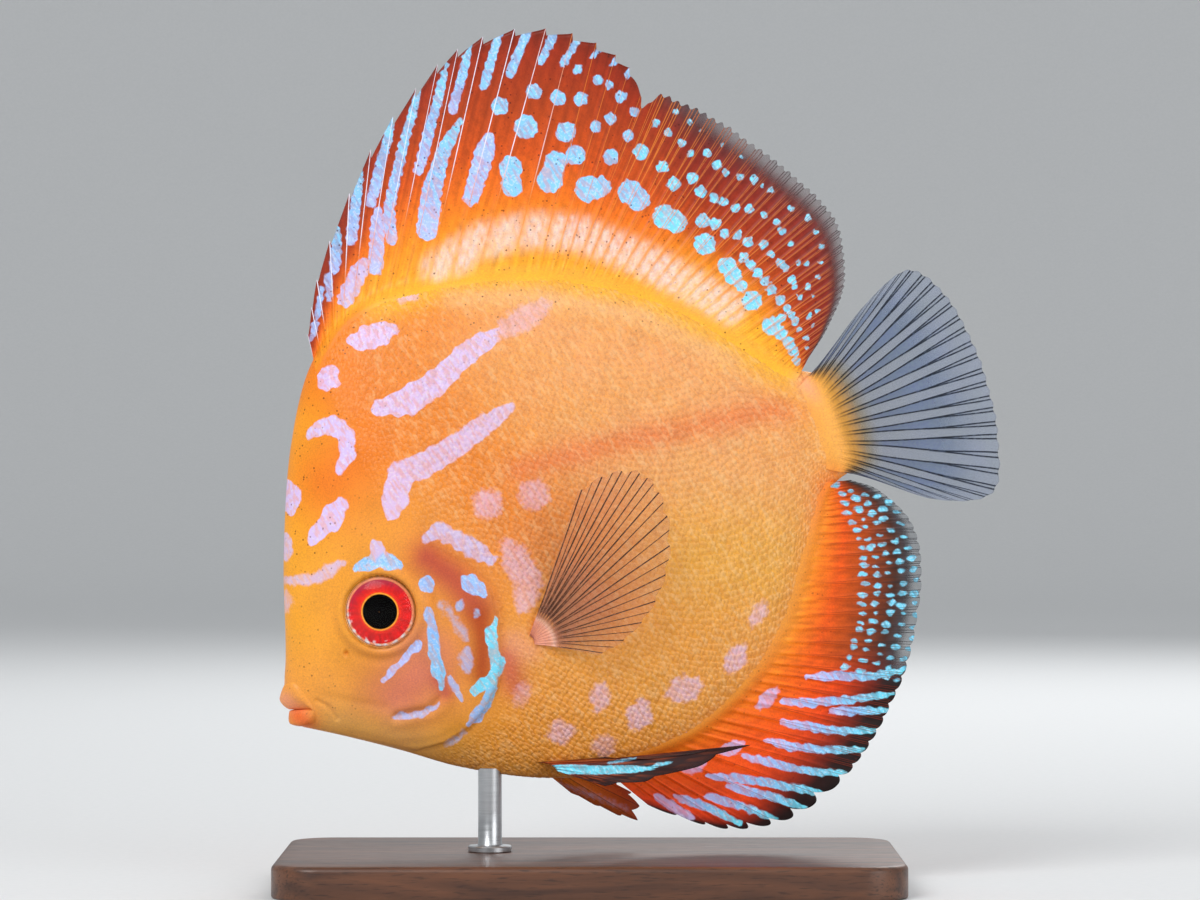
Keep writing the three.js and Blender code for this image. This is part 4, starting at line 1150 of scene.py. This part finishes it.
eye = {
    "radius": 7.55, "dome": 2.75, "sink": 0.9, "lean": 8.0, "spokes": 144,
    "gold": 3.86, "goldWidth": 0.17, "pupil": 3.66, "lensFoot": 0.58, "lensRise": 0.75,
    "hole": 0.4,                                 # radius at which a round piece begins
    "innerBand": (5.2, 4.2), "topBand": (5.0, 6.6), "limb": (6.75, 6.95), "rim": (7.25, 7.45),
    "silverSide": 235.0,                         # degrees round the iris
    "red": "#e20a08", "innerRed": "#fa2c0a", "topPurple": "#9c1440", "goldTone": "#ffb42c",
    "limbTone": "#f09a68", "silver": "#e4dcd8", "fleckTone": "#e8dce0", "rimTone": "#6a3a24",
    "black": "#050404",
    "backRadius": (6.2, 4.0), "backHeight": (-0.6, -2.2, -3.4, -3.9),    # closed back of the eyeball
}


# Round piece on the eye's axis from rows of radius and height, turned to face outwards and
# lean a little forwards with the side of the head.
def roundPiece(name, side, radius, height, values):
    spokes = eye["spokes"]
    angle = np.arange(spokes) * 2 * math.pi / spokes
    r, h = radius[:, None], height[:, None]
    local = np.stack([r * np.cos(angle), side * (h + 0 * angle), r * np.sin(angle)], -1)
    lean = math.radians(eye["lean"]) * side
    turned = np.stack([local[..., 0] * math.cos(lean) - local[..., 1] * math.sin(lean),
                       local[..., 0] * math.sin(lean) + local[..., 1] * math.cos(lean), local[..., 2]], -1)
    place = float(halfWidth(*head["eye"])) - eye["sink"]
    points = turned + np.array([head["eye"][0], side * place, head["eye"][1]])
    faces = gridFaces(len(radius), spokes, ring=True)
    if side > 0:
        faces = faces[:, ::-1]
    return makePiece(name, points.reshape(-1, 3), faces.tolist(), values)


# Iris and white of the eye: a shallow bowl from the pupil's edge out to the rim, with its
# bands painted by radius and its fibres and silver flecks by angle.
def buildIris(name, side):
    bowl = np.linspace(0, 1, 60)[1:]
    radius = np.concatenate([np.linspace(eye["hole"], eye["pupil"], 6),
                             mix(eye["pupil"], eye["radius"], bowl),
                             [eye["radius"], *eye["backRadius"], eye["hole"]]])
    height = np.concatenate([np.full(6, 0.55), mix(0.6, 0.15, bowl ** 1.5), eye["backHeight"]])
    angle = np.arange(eye["spokes"]) * 2 * math.pi / eye["spokes"]
    r = radius[:, None] + 0 * angle
    fibres = 0.5 + 0.5 * np.sin(angle * 23 + 2.0 * np.sin(angle * 7))
    silver = ripple(r * np.cos(angle), r * np.sin(angle), 1.5, 51)
    place = np.cos(angle - math.radians(eye["silverSide"])) + 0 * r
    pale = ease(-0.2, 0.3, silver) * ease(-0.2, 0.4, place)
    fleck = ease(0.35, 0.6, silver) * ease(0.2, 0.8, place) * ease(6.1, 6.6, r)
    limb = mix(linear(eye["limbTone"]), linear(eye["silver"]), pale[..., None])
    colour = linear(eye["red"]) * (0.8 + 0.3 * fibres * ease(4.2, 5.6, r))[..., None]
    # each layer: a colour and how far it covers the ones before
    for tone, share in (
            (linear(eye["innerRed"]), 0.7 * ease(*eye["innerBand"], r)),
            (linear(eye["topPurple"]), 0.75 * ease(0.1, 1.0, np.sin(angle)) * ease(*eye["topBand"], r)),
            (linear(eye["goldTone"]), ridgeAt(r, (1.0, eye["gold"], eye["goldWidth"]))),
            (limb, 0.9 * ease(*eye["limb"], r)),
            (linear(eye["fleckTone"]), 0.8 * fleck),
            (linear(eye["rimTone"]), 0.8 * ease(*eye["rim"], r)),
            (linear(eye["black"]), r < eye["pupil"] - 0.01)):
        colour = mix(colour, tone, share[..., None])
    return roundPiece(name, side, radius, height, {"tint": colour.clip(0, 1)})


# Cornea: a clear dome over the iris, flatter in the middle.
def buildCornea(name, side):
    turn = np.linspace(0.02, math.pi / 2, 26)
    radius = eye["radius"] * np.sin(turn)
    height = 0.2 + (eye["dome"] - 0.2) * np.cos(turn) ** 0.9
    return roundPiece(name, side, radius, height, {})


# Lens: the black dome that shows in the pupil.
def buildLens(name, side):
    turn = np.linspace(0.02, math.pi / 2, 16)
    radius = (eye["pupil"] + 0.03) * np.sin(turn)
    height = eye["lensFoot"] + eye["lensRise"] * np.cos(turn)
    return roundPiece(name, side, radius, height, {})


# Stand

stand = {
    "size": (130.0, 80.0, 7.0), "corner": 10.0, "edge": 1.2, "flat": 4.0,
    "rodRadius": 2.5, "rodPlace": -21.0, "rodTop": 24.6, "rodSpokes": 64,
}


# Base: a rounded rectangle carried up over a small round edge, closed by flat faces.
def buildBase():
    length, depth, height = stand["size"]
    corner, edge = stand["corner"], stand["edge"]
    turn = np.linspace(0, math.pi / 2, 17)
    outline = []
    for quarter, (sx, sy) in enumerate(((1, 1), (-1, 1), (-1, -1), (1, -1))):
        angle = turn + quarter * math.pi / 2
        outline.append(np.stack([sx * (length / 2 - corner) + corner * np.cos(angle),
                                 sy * (depth / 2 - corner) + corner * np.sin(angle),
                                 np.cos(angle), np.sin(angle)], -1))
    outline = np.concatenate(outline)
    bend = np.linspace(0, math.pi / 2, 7)
    low = edge / 2    # the lower edge is half as round as the upper one
    inset = np.concatenate([[stand["flat"], low], low * (1 - np.sin(bend)), edge * (1 - np.cos(bend)),
                            [stand["flat"]]])
    level = np.concatenate([[0.0, 0.0], low * (1 - np.cos(bend)), height - edge * (1 - np.sin(bend)),
                            [height]])
    rows = np.stack([outline[None, :, 0] - inset[:, None] * outline[None, :, 2],
                     outline[None, :, 1] - inset[:, None] * outline[None, :, 3],
                     level[:, None] + 0 * outline[None, :, 0]], -1)
    count = len(outline)
    faces = gridFaces(len(rows), count, ring=True).tolist()
    faces.append(list(range(count))[::-1])
    faces.append([(len(rows) - 1) * count + k for k in range(count)])
    piece = makePiece("stand_base_wood", rows * 0.001, faces, inRow=True)
    piece.data.set_sharp_from_angle(angle=math.radians(35))
    return piece


# Rod: a turned profile with a small foot ring where it enters the base.
def buildRod():
    base, top, r = stand["size"][2], stand["rodTop"], stand["rodRadius"]
    radius = np.array([0.0, r + 1.9, r + 2.1, r + 2.1, r + 1.9, r + 0.2, r, r, r, 0.0])
    level = np.array([base, base, base + 0.2, base + 1.1, base + 1.35, base + 1.4, base + 1.7,
                      (base + top) / 2, top, top])
    spokes = stand["rodSpokes"]
    angle = np.arange(spokes) * 2 * math.pi / spokes
    rows = np.stack([stand["rodPlace"] + radius[:, None] * np.cos(angle), radius[:, None] * np.sin(angle),
                     level[:, None] + 0 * angle], -1)
    faces = gridFaces(len(rows), spokes, ring=True).tolist()
    piece = makePiece("stand_rod_steel", rows * 0.001, faces, inRow=True)
    piece.data.set_sharp_from_angle(angle=math.radians(35))
    return piece


# Materials

# New material with the principled shader's own constants set.
def newMaterial(name, constants):
    material = bpy.data.materials.new(name)
    material.use_nodes = True
    shader = material.node_tree.nodes["Principled BSDF"]
    for key, value in constants.items():
        shader.inputs[key].default_value = value
    return material, shader


# One node with its settings; an input is a plain value, or another node's output to link.
# The output that give names, or else the first, is handed back.
def addNode(material, kind, inputs=None, give=0, **settings):
    node = material.node_tree.nodes.new("ShaderNode" + kind)
    for key, value in settings.items():
        setattr(node, key, value)
    for key, value in (inputs or {}).items():
        if isinstance(value, bpy.types.NodeSocket):
            material.node_tree.links.new(value, node.inputs[key])
        else:
            node.inputs[key].default_value = value
    return node.outputs[give]


def joinNodes(material, output, socket):
    material.node_tree.links.new(output, socket)


def rgba(code):
    return (*linear(code), 1.0)


# What a layer of living skin looks like, in mm.
fleshLook = {
    "edgeRagged": 0.24,      # how far a mark's edge strays
    "edgeSoft": 0.16,
    "tickLength": 1.5,       # pale ticks of the scales' edges with a painted highlight, running down and back
    "tickWidth": 0.42,
    "tickLean": 35.0,        # degrees from upright
    "pepperSize": 1.3,       # between dark specks
    "mottle": 0.64,          # how much of a mark shows between its ticks
    "rimPaleAndHighlight": 0.18,        # how pale the scales' free edges are, with a painted highlight
    "grainDepth": 0.03,      # mm
    # Noises: size in mm and detail. The grain is drawn coarser than the real pigment cells.
    "clouds": {"grain": (0.35, 3.0), "wide": (6.0, 2.0), "stray": (0.9, 3.0), "sparkle": (0.5, 2.0),
               "patches": (3.0, 2.0), "joints": (0.8, 1.0)},
    "lavender": "#e6caff", "blue": "#94c6ff", "cyan": "#74e8ff",
    # the scale edge tone is the scales' pale edge colour and also a painted highlight on them
    "sparkle": "#eef4ff", "speck": "#541208", "paleEdgeAndHighlight": "#ffe0b0",
    # light ticks: pale edge colour with a painted highlight; dark ticks: a darker orange
    "lightTick": (0.52, 0.68, 0.2, "#ffd9a0"), "darkTick": (0.46, 0.34, 0.16, "#c86a24"),
}


# Pigmented skin under a clear slime coat: satin, with a soft broad shine. Colour is the
# painted ground, then on the body the pale and dark ticks of the scales' edges, then the ragged
# blue marks over it, then dark specks, and last the scales' pale free edges with a painted
# highlight on their upper halves. A fin's membrane also has the dark lines of its rays, drawn by
# folding the distance from the ray's middle twice, and is clear between them towards its margin.
def paintedSkin(name, roughness, coat, membrane=False):
    material, shader = newMaterial(name, {
        "Roughness": roughness, "IOR": 1.4, "Specular IOR Level": 0.32, "Coat Weight": coat,
        "Coat Roughness": 0.2, "Coat IOR": 1.36})
    place = addNode(material, "TexCoord", give="Object")
    tint = addNode(material, "Attribute", give="Color", attribute_name="tint")
    read = {key: addNode(material, "Attribute", give="Fac", attribute_name=key)
            for key in ("markEdge", "markStrength", "markTone", "pepper")}
    cloudy = {key: addNode(material, "TexNoise", {"Vector": place, "Scale": 1000 / size, "Detail": detail})
              for key, (size, detail) in fleshLook["clouds"].items()}
    soft = {"interpolation_type": "SMOOTHSTEP"}
    times = {"operation": "MULTIPLY"}
    blend = {"data_type": "RGBA", "give": 2}

    # ground: the tint under a fine grain and wide soft clouds
    light = {"From Min": 0.3, "From Max": 0.7}
    shade = [addNode(material, "MapRange", {"Value": cloudy[key], **light, "To Min": low, "To Max": high})
             for key, low, high in (("grain", 0.9, 1.1), ("grain", 0.86, 1.12), ("wide", 0.92, 1.08))]
    shade = addNode(material, "CombineColor", dict(enumerate(shade)))
    colour = addNode(material, "Mix", {0: 1.0, 6: tint, 7: shade}, blend_type="MULTIPLY", **blend)

    # ticks: a noise drawn out along one slanting direction; the pale ticks are the scales' pale edges with
    # a painted highlight, the dark ones darker orange where the noise is low
    tilt = math.radians(fleshLook["tickLean"])
    lean = addNode(material, "Mapping", {"Vector": place, "Rotation": (0, tilt, 0)})
    drawn = addNode(material, "Mapping", {
        "Vector": lean, "Scale": (1.0, 1.0, fleshLook["tickWidth"] / fleshLook["tickLength"])})
    ticks = addNode(material, "TexNoise", {
        "Vector": drawn, "Scale": 500 / fleshLook["tickWidth"], "Detail": 1.0})
    if not membrane:
        scaly = addNode(material, "Attribute", give="Fac", attribute_name="scaly")
        for low, high, power, code in (fleshLook["lightTick"], fleshLook["darkTick"]):
            share = addNode(material, "MapRange", {"Value": ticks, "From Min": low, "From Max": high,
                                                   "To Max": power}, **soft)
            share = addNode(material, "Math", {0: share, 1: scaly}, **times)
            colour = addNode(material, "Mix", {0: share, 6: colour, 7: rgba(code)}, **blend)

    # marks: their distance field with a strayed edge, mottled by the ticks
    strayed = addNode(material, "MapRange", {
        "Value": cloudy["stray"], "To Min": -fleshLook["edgeRagged"], "To Max": fleshLook["edgeRagged"]})
    ragged = addNode(material, "Math", {0: read["markEdge"], 1: strayed}, operation="ADD")
    inside = addNode(material, "MapRange", {"Value": ragged, "From Min": fleshLook["edgeSoft"],
                                            "From Max": -fleshLook["edgeSoft"]}, **soft)
    mottled = addNode(material, "MapRange", {"Value": ticks, "From Min": 0.36, "From Max": 0.58,
                                             "To Min": fleshLook["mottle"]}, **soft)
    cover = addNode(material, "Math", {0: inside, 1: mottled}, **times)
    cover = addNode(material, "Math", {0: cover, 1: read["markStrength"]}, **times)
    half = addNode(material, "Math", {0: read["markTone"], 1: 0.5}, **times)
    hue = addNode(material, "ValToRGB", {0: half})
    ramp = hue.node.color_ramp
    ramp.elements[0].color = rgba(fleshLook["lavender"])
    ramp.elements[1].color = rgba(fleshLook["cyan"])
    ramp.elements.new(0.5).color = rgba(fleshLook["blue"])
    sparkle = addNode(material, "MapRange", {"Value": cloudy["sparkle"], "From Min": 0.5, "From Max": 0.66,
                                             "To Max": 0.4}, **soft)
    hue = addNode(material, "Mix", {0: sparkle, 6: hue, 7: rgba(fleshLook["sparkle"])}, **blend)
    colour = addNode(material, "Mix", {0: cover, 6: colour, 7: hue}, **blend)

    # pepper: dark specks in the middle of cells, in patches
    dots = addNode(material, "TexVoronoi", {"Vector": place, "Scale": 1000 / fleshLook["pepperSize"]},
                   give="Distance")
    speck = addNode(material, "MapRange", {"Value": dots, "From Min": 0.2, "From Max": 0.1,
                                           "To Max": 0.8}, **soft)
    patchy = addNode(material, "MapRange", {"Value": cloudy["patches"], "From Min": 0.4,
                                            "From Max": 0.6}, **soft)
    speck = addNode(material, "Math", {0: speck, 1: patchy}, **times)
    speck = addNode(material, "Math", {0: speck, 1: read["pepper"]}, **times)
    colour = addNode(material, "Mix", {0: speck, 6: colour, 7: rgba(fleshLook["speck"])}, **blend)

    if membrane:
        # rays: dark where the twice folded distance from the ray's middle is near nothing
        ray = {key: addNode(material, "Attribute", give="Fac", attribute_name=key)
               for key in ("rayNumber", "rayFirst", "raySecond", "rayWidth", "rayCover", "clear")}
        rayTint = addNode(material, "Attribute", give="Color", attribute_name="rayTint")
        off = addNode(material, "Math", {0: ray["rayNumber"]}, operation="ROUND")
        off = addNode(material, "Math", {0: ray["rayNumber"], 1: off}, operation="SUBTRACT")
        for fold in ("rayFirst", "raySecond"):
            off = addNode(material, "Math", {0: off}, operation="ABSOLUTE")
            off = addNode(material, "Math", {0: off, 1: ray[fold]}, operation="SUBTRACT")
        off = addNode(material, "Math", {0: off}, operation="ABSOLUTE")
        off = addNode(material, "Math", {0: off, 1: ray["rayWidth"]}, operation="DIVIDE")
        line = addNode(material, "MapRange", {"Value": off, "From Min": 0.75, "From Max": 0.3}, **soft)
        joints = addNode(material, "MapRange", {"Value": cloudy["joints"], "From Min": 0.3, "From Max": 0.5,
                                                "To Min": 0.7}, **soft)
        line = addNode(material, "Math", {0: line, 1: joints}, **times)
        line = addNode(material, "Math", {0: line, 1: ray["rayCover"]}, **times)
        colour = addNode(material, "Mix", {0: line, 6: colour, 7: rayTint}, **blend)
        # clear only away from the rays and the marks
        clear = ray["clear"]
        for filled in (line, cover):
            bare = addNode(material, "MapRange", {"Value": filled, "To Min": 1.0, "To Max": 0.1})
            clear = addNode(material, "Math", {0: clear, 1: bare}, **times)
        alpha = addNode(material, "Math", {0: 1.0, 1: clear}, operation="SUBTRACT")
        joinNodes(material, alpha, shader.inputs["Alpha"])
    else:
        # rim: the scales' pale free edges, brightest on their upper halves as a painted highlight
        rim = addNode(material, "Attribute", give="Fac", attribute_name="rim")
        rim = addNode(material, "Math", {0: rim, 1: fleshLook["rimPaleAndHighlight"]}, **times)
        colour = addNode(material, "Mix", {0: rim, 6: colour, 7: rgba(fleshLook["paleEdgeAndHighlight"])}, **blend)
    joinNodes(material, colour, shader.inputs["Base Color"])
    rough = addNode(material, "MapRange", {"Value": cloudy["grain"], **light,
                                           "To Min": roughness - 0.07, "To Max": roughness + 0.09})
    joinNodes(material, rough, shader.inputs["Roughness"])
    bump = addNode(material, "Bump", {"Strength": 0.5, "Distance": fleshLook["grainDepth"] * 0.001,
                                      "Height": cloudy["grain"]})
    joinNodes(material, bump, shader.inputs["Normal"])
    return material


# Iris: pigmented tissue seen through the cornea, moist and smooth, with fine fibres.
def irisTissue():
    material, shader = newMaterial("iris_tissue", {"Roughness": 0.35, "IOR": 1.38, "Coat Weight": 0.1,
                                                  "Coat Roughness": 0.08})
    tint = addNode(material, "Attribute", give="Color", attribute_name="tint")
    place = addNode(material, "TexCoord", give="Object")
    fibre = addNode(material, "TexNoise", {"Vector": place, "Scale": 2600.0, "Detail": 3.0})
    shade = addNode(material, "MapRange", {"Value": fibre, "From Min": 0.3, "From Max": 0.7,
                                           "To Min": 0.78, "To Max": 1.2})
    grey = addNode(material, "CombineColor", {0: shade, 1: shade, 2: shade})
    colour = addNode(material, "Mix", {0: 1.0, 6: tint, 7: grey}, give=2, data_type="RGBA",
                     blend_type="MULTIPLY")
    joinNodes(material, colour, shader.inputs["Base Color"])
    return material


# Lens behind the pupil: clear tissue over darkness, so black, and all its shine comes from
# the cornea in front of it.
def pupilLens():
    material, shader = newMaterial("pupil_lens", {"Roughness": 0.5, "IOR": 1.42, "Specular IOR Level": 0.0})
    place = addNode(material, "TexCoord", give="Object")
    haze = addNode(material, "TexNoise", {"Vector": place, "Scale": 400.0})
    colour = addNode(material, "Mix", {0: haze, 6: rgba("#010101"), 7: rgba("#040304")}, give=2,
                     data_type="RGBA")
    joinNodes(material, colour, shader.inputs["Base Color"])
    return material


# Cornea: a clear wet film that gives the eye its sharp highlight. Its index is lower than the
# real 1.376, so that the pale room doesn't veil the pupil.
def clearCornea():
    material, shader = newMaterial("clear_cornea", {
        "Base Color": (1, 1, 1, 1), "Roughness": 0.02, "IOR": 1.18, "Transmission Weight": 1.0,
        "Specular IOR Level": 0.3})
    place = addNode(material, "TexCoord", give="Object")
    film = addNode(material, "TexNoise", {"Vector": place, "Scale": 300.0})
    wet = addNode(material, "MapRange", {"Value": film, "To Min": 0.015, "To Max": 0.05})
    joinNodes(material, wet, shader.inputs["Roughness"])
    return material


# Walnut, planed and oiled: long dark streaks along the base, 3 to 5 mm apart, and open
# pores drawn out along the grain under a satin film.
def oiledWalnut():
    material, shader = newMaterial("oiled_walnut", {"IOR": 1.5, "Coat Weight": 0.25,
                                                    "Coat Roughness": 0.25})
    place = addNode(material, "TexCoord", give="Object")
    drawn = addNode(material, "Mapping", {"Vector": place, "Scale": (0.09, 1.0, 1.0)})
    streaks = addNode(material, "TexNoise", {"Vector": drawn, "Scale": 240.0, "Detail": 4.0,
                                             "Distortion": 0.8})
    bands = addNode(material, "MapRange", {"Value": streaks, "From Min": 0.32, "From Max": 0.66})
    pores = addNode(material, "TexNoise", {"Vector": drawn, "Scale": 2400.0, "Detail": 2.0})
    tone = addNode(material, "Mix", {0: bands, 6: rgba("#3a2014"), 7: rgba("#6b4128")}, give=2,
                   data_type="RGBA")
    dark = addNode(material, "MapRange", {"Value": pores, "From Min": 0.56, "From Max": 0.68})
    share = addNode(material, "Math", {0: dark, 1: 0.6}, operation="MULTIPLY")
    colour = addNode(material, "Mix", {0: share, 6: tone, 7: rgba("#24120a")}, give=2, data_type="RGBA")
    joinNodes(material, colour, shader.inputs["Base Color"])
    rough = addNode(material, "MapRange", {"Value": pores, "To Min": 0.34, "To Max": 0.56})
    joinNodes(material, rough, shader.inputs["Roughness"])
    bump = addNode(material, "Bump", {"Strength": 0.5, "Distance": 0.00005, "Height": pores}, invert=True)
    joinNodes(material, bump, shader.inputs["Normal"])
    return material


# Stainless steel rod, brushed round its axis: fine rings, 0.25 mm wide so that they show.
def brushedSteel():
    material, shader = newMaterial("brushed_steel", {"Metallic": 1.0, "Roughness": 0.3})
    place = addNode(material, "TexCoord", give="Object")
    rings = addNode(material, "Mapping", {"Vector": place, "Scale": (0.05, 0.05, 1.0)})
    brush = addNode(material, "TexNoise", {"Vector": rings, "Scale": 4000.0, "Detail": 2.0})
    colour = addNode(material, "Mix", {0: brush, 6: rgba("#a9abae"), 7: rgba("#cfd1d3")}, give=2,
                     data_type="RGBA")
    joinNodes(material, colour, shader.inputs["Base Color"])
    rough = addNode(material, "MapRange", {"Value": brush, "To Min": 0.22, "To Max": 0.42})
    joinNodes(material, rough, shader.inputs["Roughness"])
    bump = addNode(material, "Bump", {"Strength": 0.4, "Distance": 0.00002, "Height": brush})
    joinNodes(material, bump, shader.inputs["Normal"])
    return material


# Matt paper sweep under and round the model.
def mattPaper():
    material, shader = newMaterial("matt_paper", {"Roughness": 0.9})
    place = addNode(material, "TexCoord", give="Object")
    fibre = addNode(material, "TexNoise", {"Vector": place, "Scale": 500.0})
    colour = addNode(material, "Mix", {0: fibre, 6: rgba("#dfe1e2"), 7: rgba("#e6e7e8")}, give=2,
                     data_type="RGBA")
    joinNodes(material, colour, shader.inputs["Base Color"])
    return material


# Studio

studio = {
    "cameraPlace": (0.0021, -1.05, 0.09135), "lens": 150.0,
    "floorRings": (0.001, 0.5, 1.2), "floorRadius": 1.9, "wallRadius": 2.6, "wallHeight": 1.4,    # metres
    "floorSpokes": 96,
    "lights": [    # name, place, what it points at, size, watts
        ("keyLight", (-0.55, -0.95, 0.85), (0.01, 0.0, 0.1), 0.7, 9.5),
        ("fillLight", (0.9, -0.9, 0.35), (0.01, 0.0, 0.1), 0.9, 4.5),
        ("backLight", (0.25, 0.9, 0.75), (0.01, 0.0, 0.1), 0.8, 5.0),
    ],
    "worldTone": "#f2f4f6", "worldStrength": 0.55,
}


# Floor that curves up into a low round wall, so that no horizon shows from any side.
def buildFloor():
    turn = np.linspace(0, math.pi / 2, 13)
    wide = studio["wallRadius"] - studio["floorRadius"]
    radius = np.concatenate([studio["floorRings"], studio["floorRadius"] + wide * np.sin(turn),
                             [studio["wallRadius"]]])
    level = np.concatenate([[0, 0, 0], wide * (1 - np.cos(turn)), [studio["wallHeight"]]])
    spokes = studio["floorSpokes"]
    angle = np.arange(spokes) * 2 * math.pi / spokes
    points = np.stack([radius[:, None] * np.cos(angle), radius[:, None] * np.sin(angle),
                       level[:, None] + 0 * angle], -1)
    faces = gridFaces(len(radius), spokes, ring=True).tolist() + [list(range(spokes))]
    floor = makePiece("paper_floor", points, faces, inRow=True)
    floor.data.materials.append(mattPaper())


def setLights():
    for name, place, target, size, watts in studio["lights"]:
        light = bpy.data.lights.new(name, "AREA")
        light.shape = "DISK"
        light.size = size
        light.energy = watts
        lamp = bpy.data.objects.new(name, light)
        lamp.location = place
        lamp.rotation_euler = (Vector(target) - Vector(place)).to_track_quat("-Z", "Y").to_euler()
        bpy.context.scene.collection.objects.link(lamp)
    world = bpy.data.worlds.new("pale_room")
    world.use_nodes = True
    ground = world.node_tree.nodes["Background"]
    ground.inputs["Color"].default_value = rgba(studio["worldTone"])
    ground.inputs["Strength"].default_value = studio["worldStrength"]
    bpy.context.scene.world = world


# The view transform keeps the painted colours as they are named.
def setCamera():
    bpy.context.scene.view_settings.view_transform = "Standard"
    camera = bpy.data.cameras.new("camera")
    camera.lens = studio["lens"]
    camera.sensor_width = 36.0
    view = bpy.data.objects.new("camera", camera)
    view.location = studio["cameraPlace"]
    view.rotation_euler = (math.pi / 2, 0, 0)
    bpy.context.scene.collection.objects.link(view)
    bpy.context.scene.camera = view


# Assembly

print("studio")
setCamera()
setLights()
buildFloor()

print("skin")
skinCoat = paintedSkin("slime_coated_skin", 0.42, 0.14)
dress(buildSkin(), skinCoat, "skin_flank", "head", "trunk", "peduncle")

print("scales")
dress(buildScales("scales_left", -1.0), skinCoat, "skin_flank")
dress(buildScales("scales_right", 1.0), skinCoat, "skin_flank")

print("fins")
finSkin = paintedSkin("fin_membrane", 0.46, 0.1, membrane=True)
dress(middleFin("dorsal_fin", fins["dorsal"], paintDorsal), finSkin, "fin_orange",
      "dorsal_fin_spines", "dorsal_fin_soft")
dress(middleFin("anal_fin", fins["anal"], paintAnal), finSkin, "fin_orange",
      "anal_fin_spines", "anal_fin_soft")
dress(middleFin("tail_fin", fins["caudal"], paintCaudal), finSkin, "fin_grey", "caudal_fin")
dress(pectoralFin("pectoral_left", -1.0), finSkin, "fin_clear", "pectoral_fin_left")
dress(pectoralFin("pectoral_right", 1.0), finSkin, "fin_clear", "pectoral_fin_right")
dress(pelvicFin("pelvic_left", "left"), finSkin, "fin_orange", "pelvic_fin_left")
dress(pelvicFin("pelvic_right", "right"), finSkin, "fin_orange", "pelvic_fin_right")

print("eyes")
iris, lens, cornea = irisTissue(), pupilLens(), clearCornea()
for sideName, side in (("left", -1.0), ("right", 1.0)):
    dress(buildIris("iris_" + sideName, side), iris, "eye", "eye_" + sideName)
    dress(buildLens("lens_" + sideName, side), lens, "eye")
    dress(buildCornea("cornea_" + sideName, side), cornea, "eye")

print("stand")
dress(buildBase(), oiledWalnut(), "stand_wood", "stand_base")
dress(buildRod(), brushedSteel(), "stand_steel", "stand_rod")

print("done")
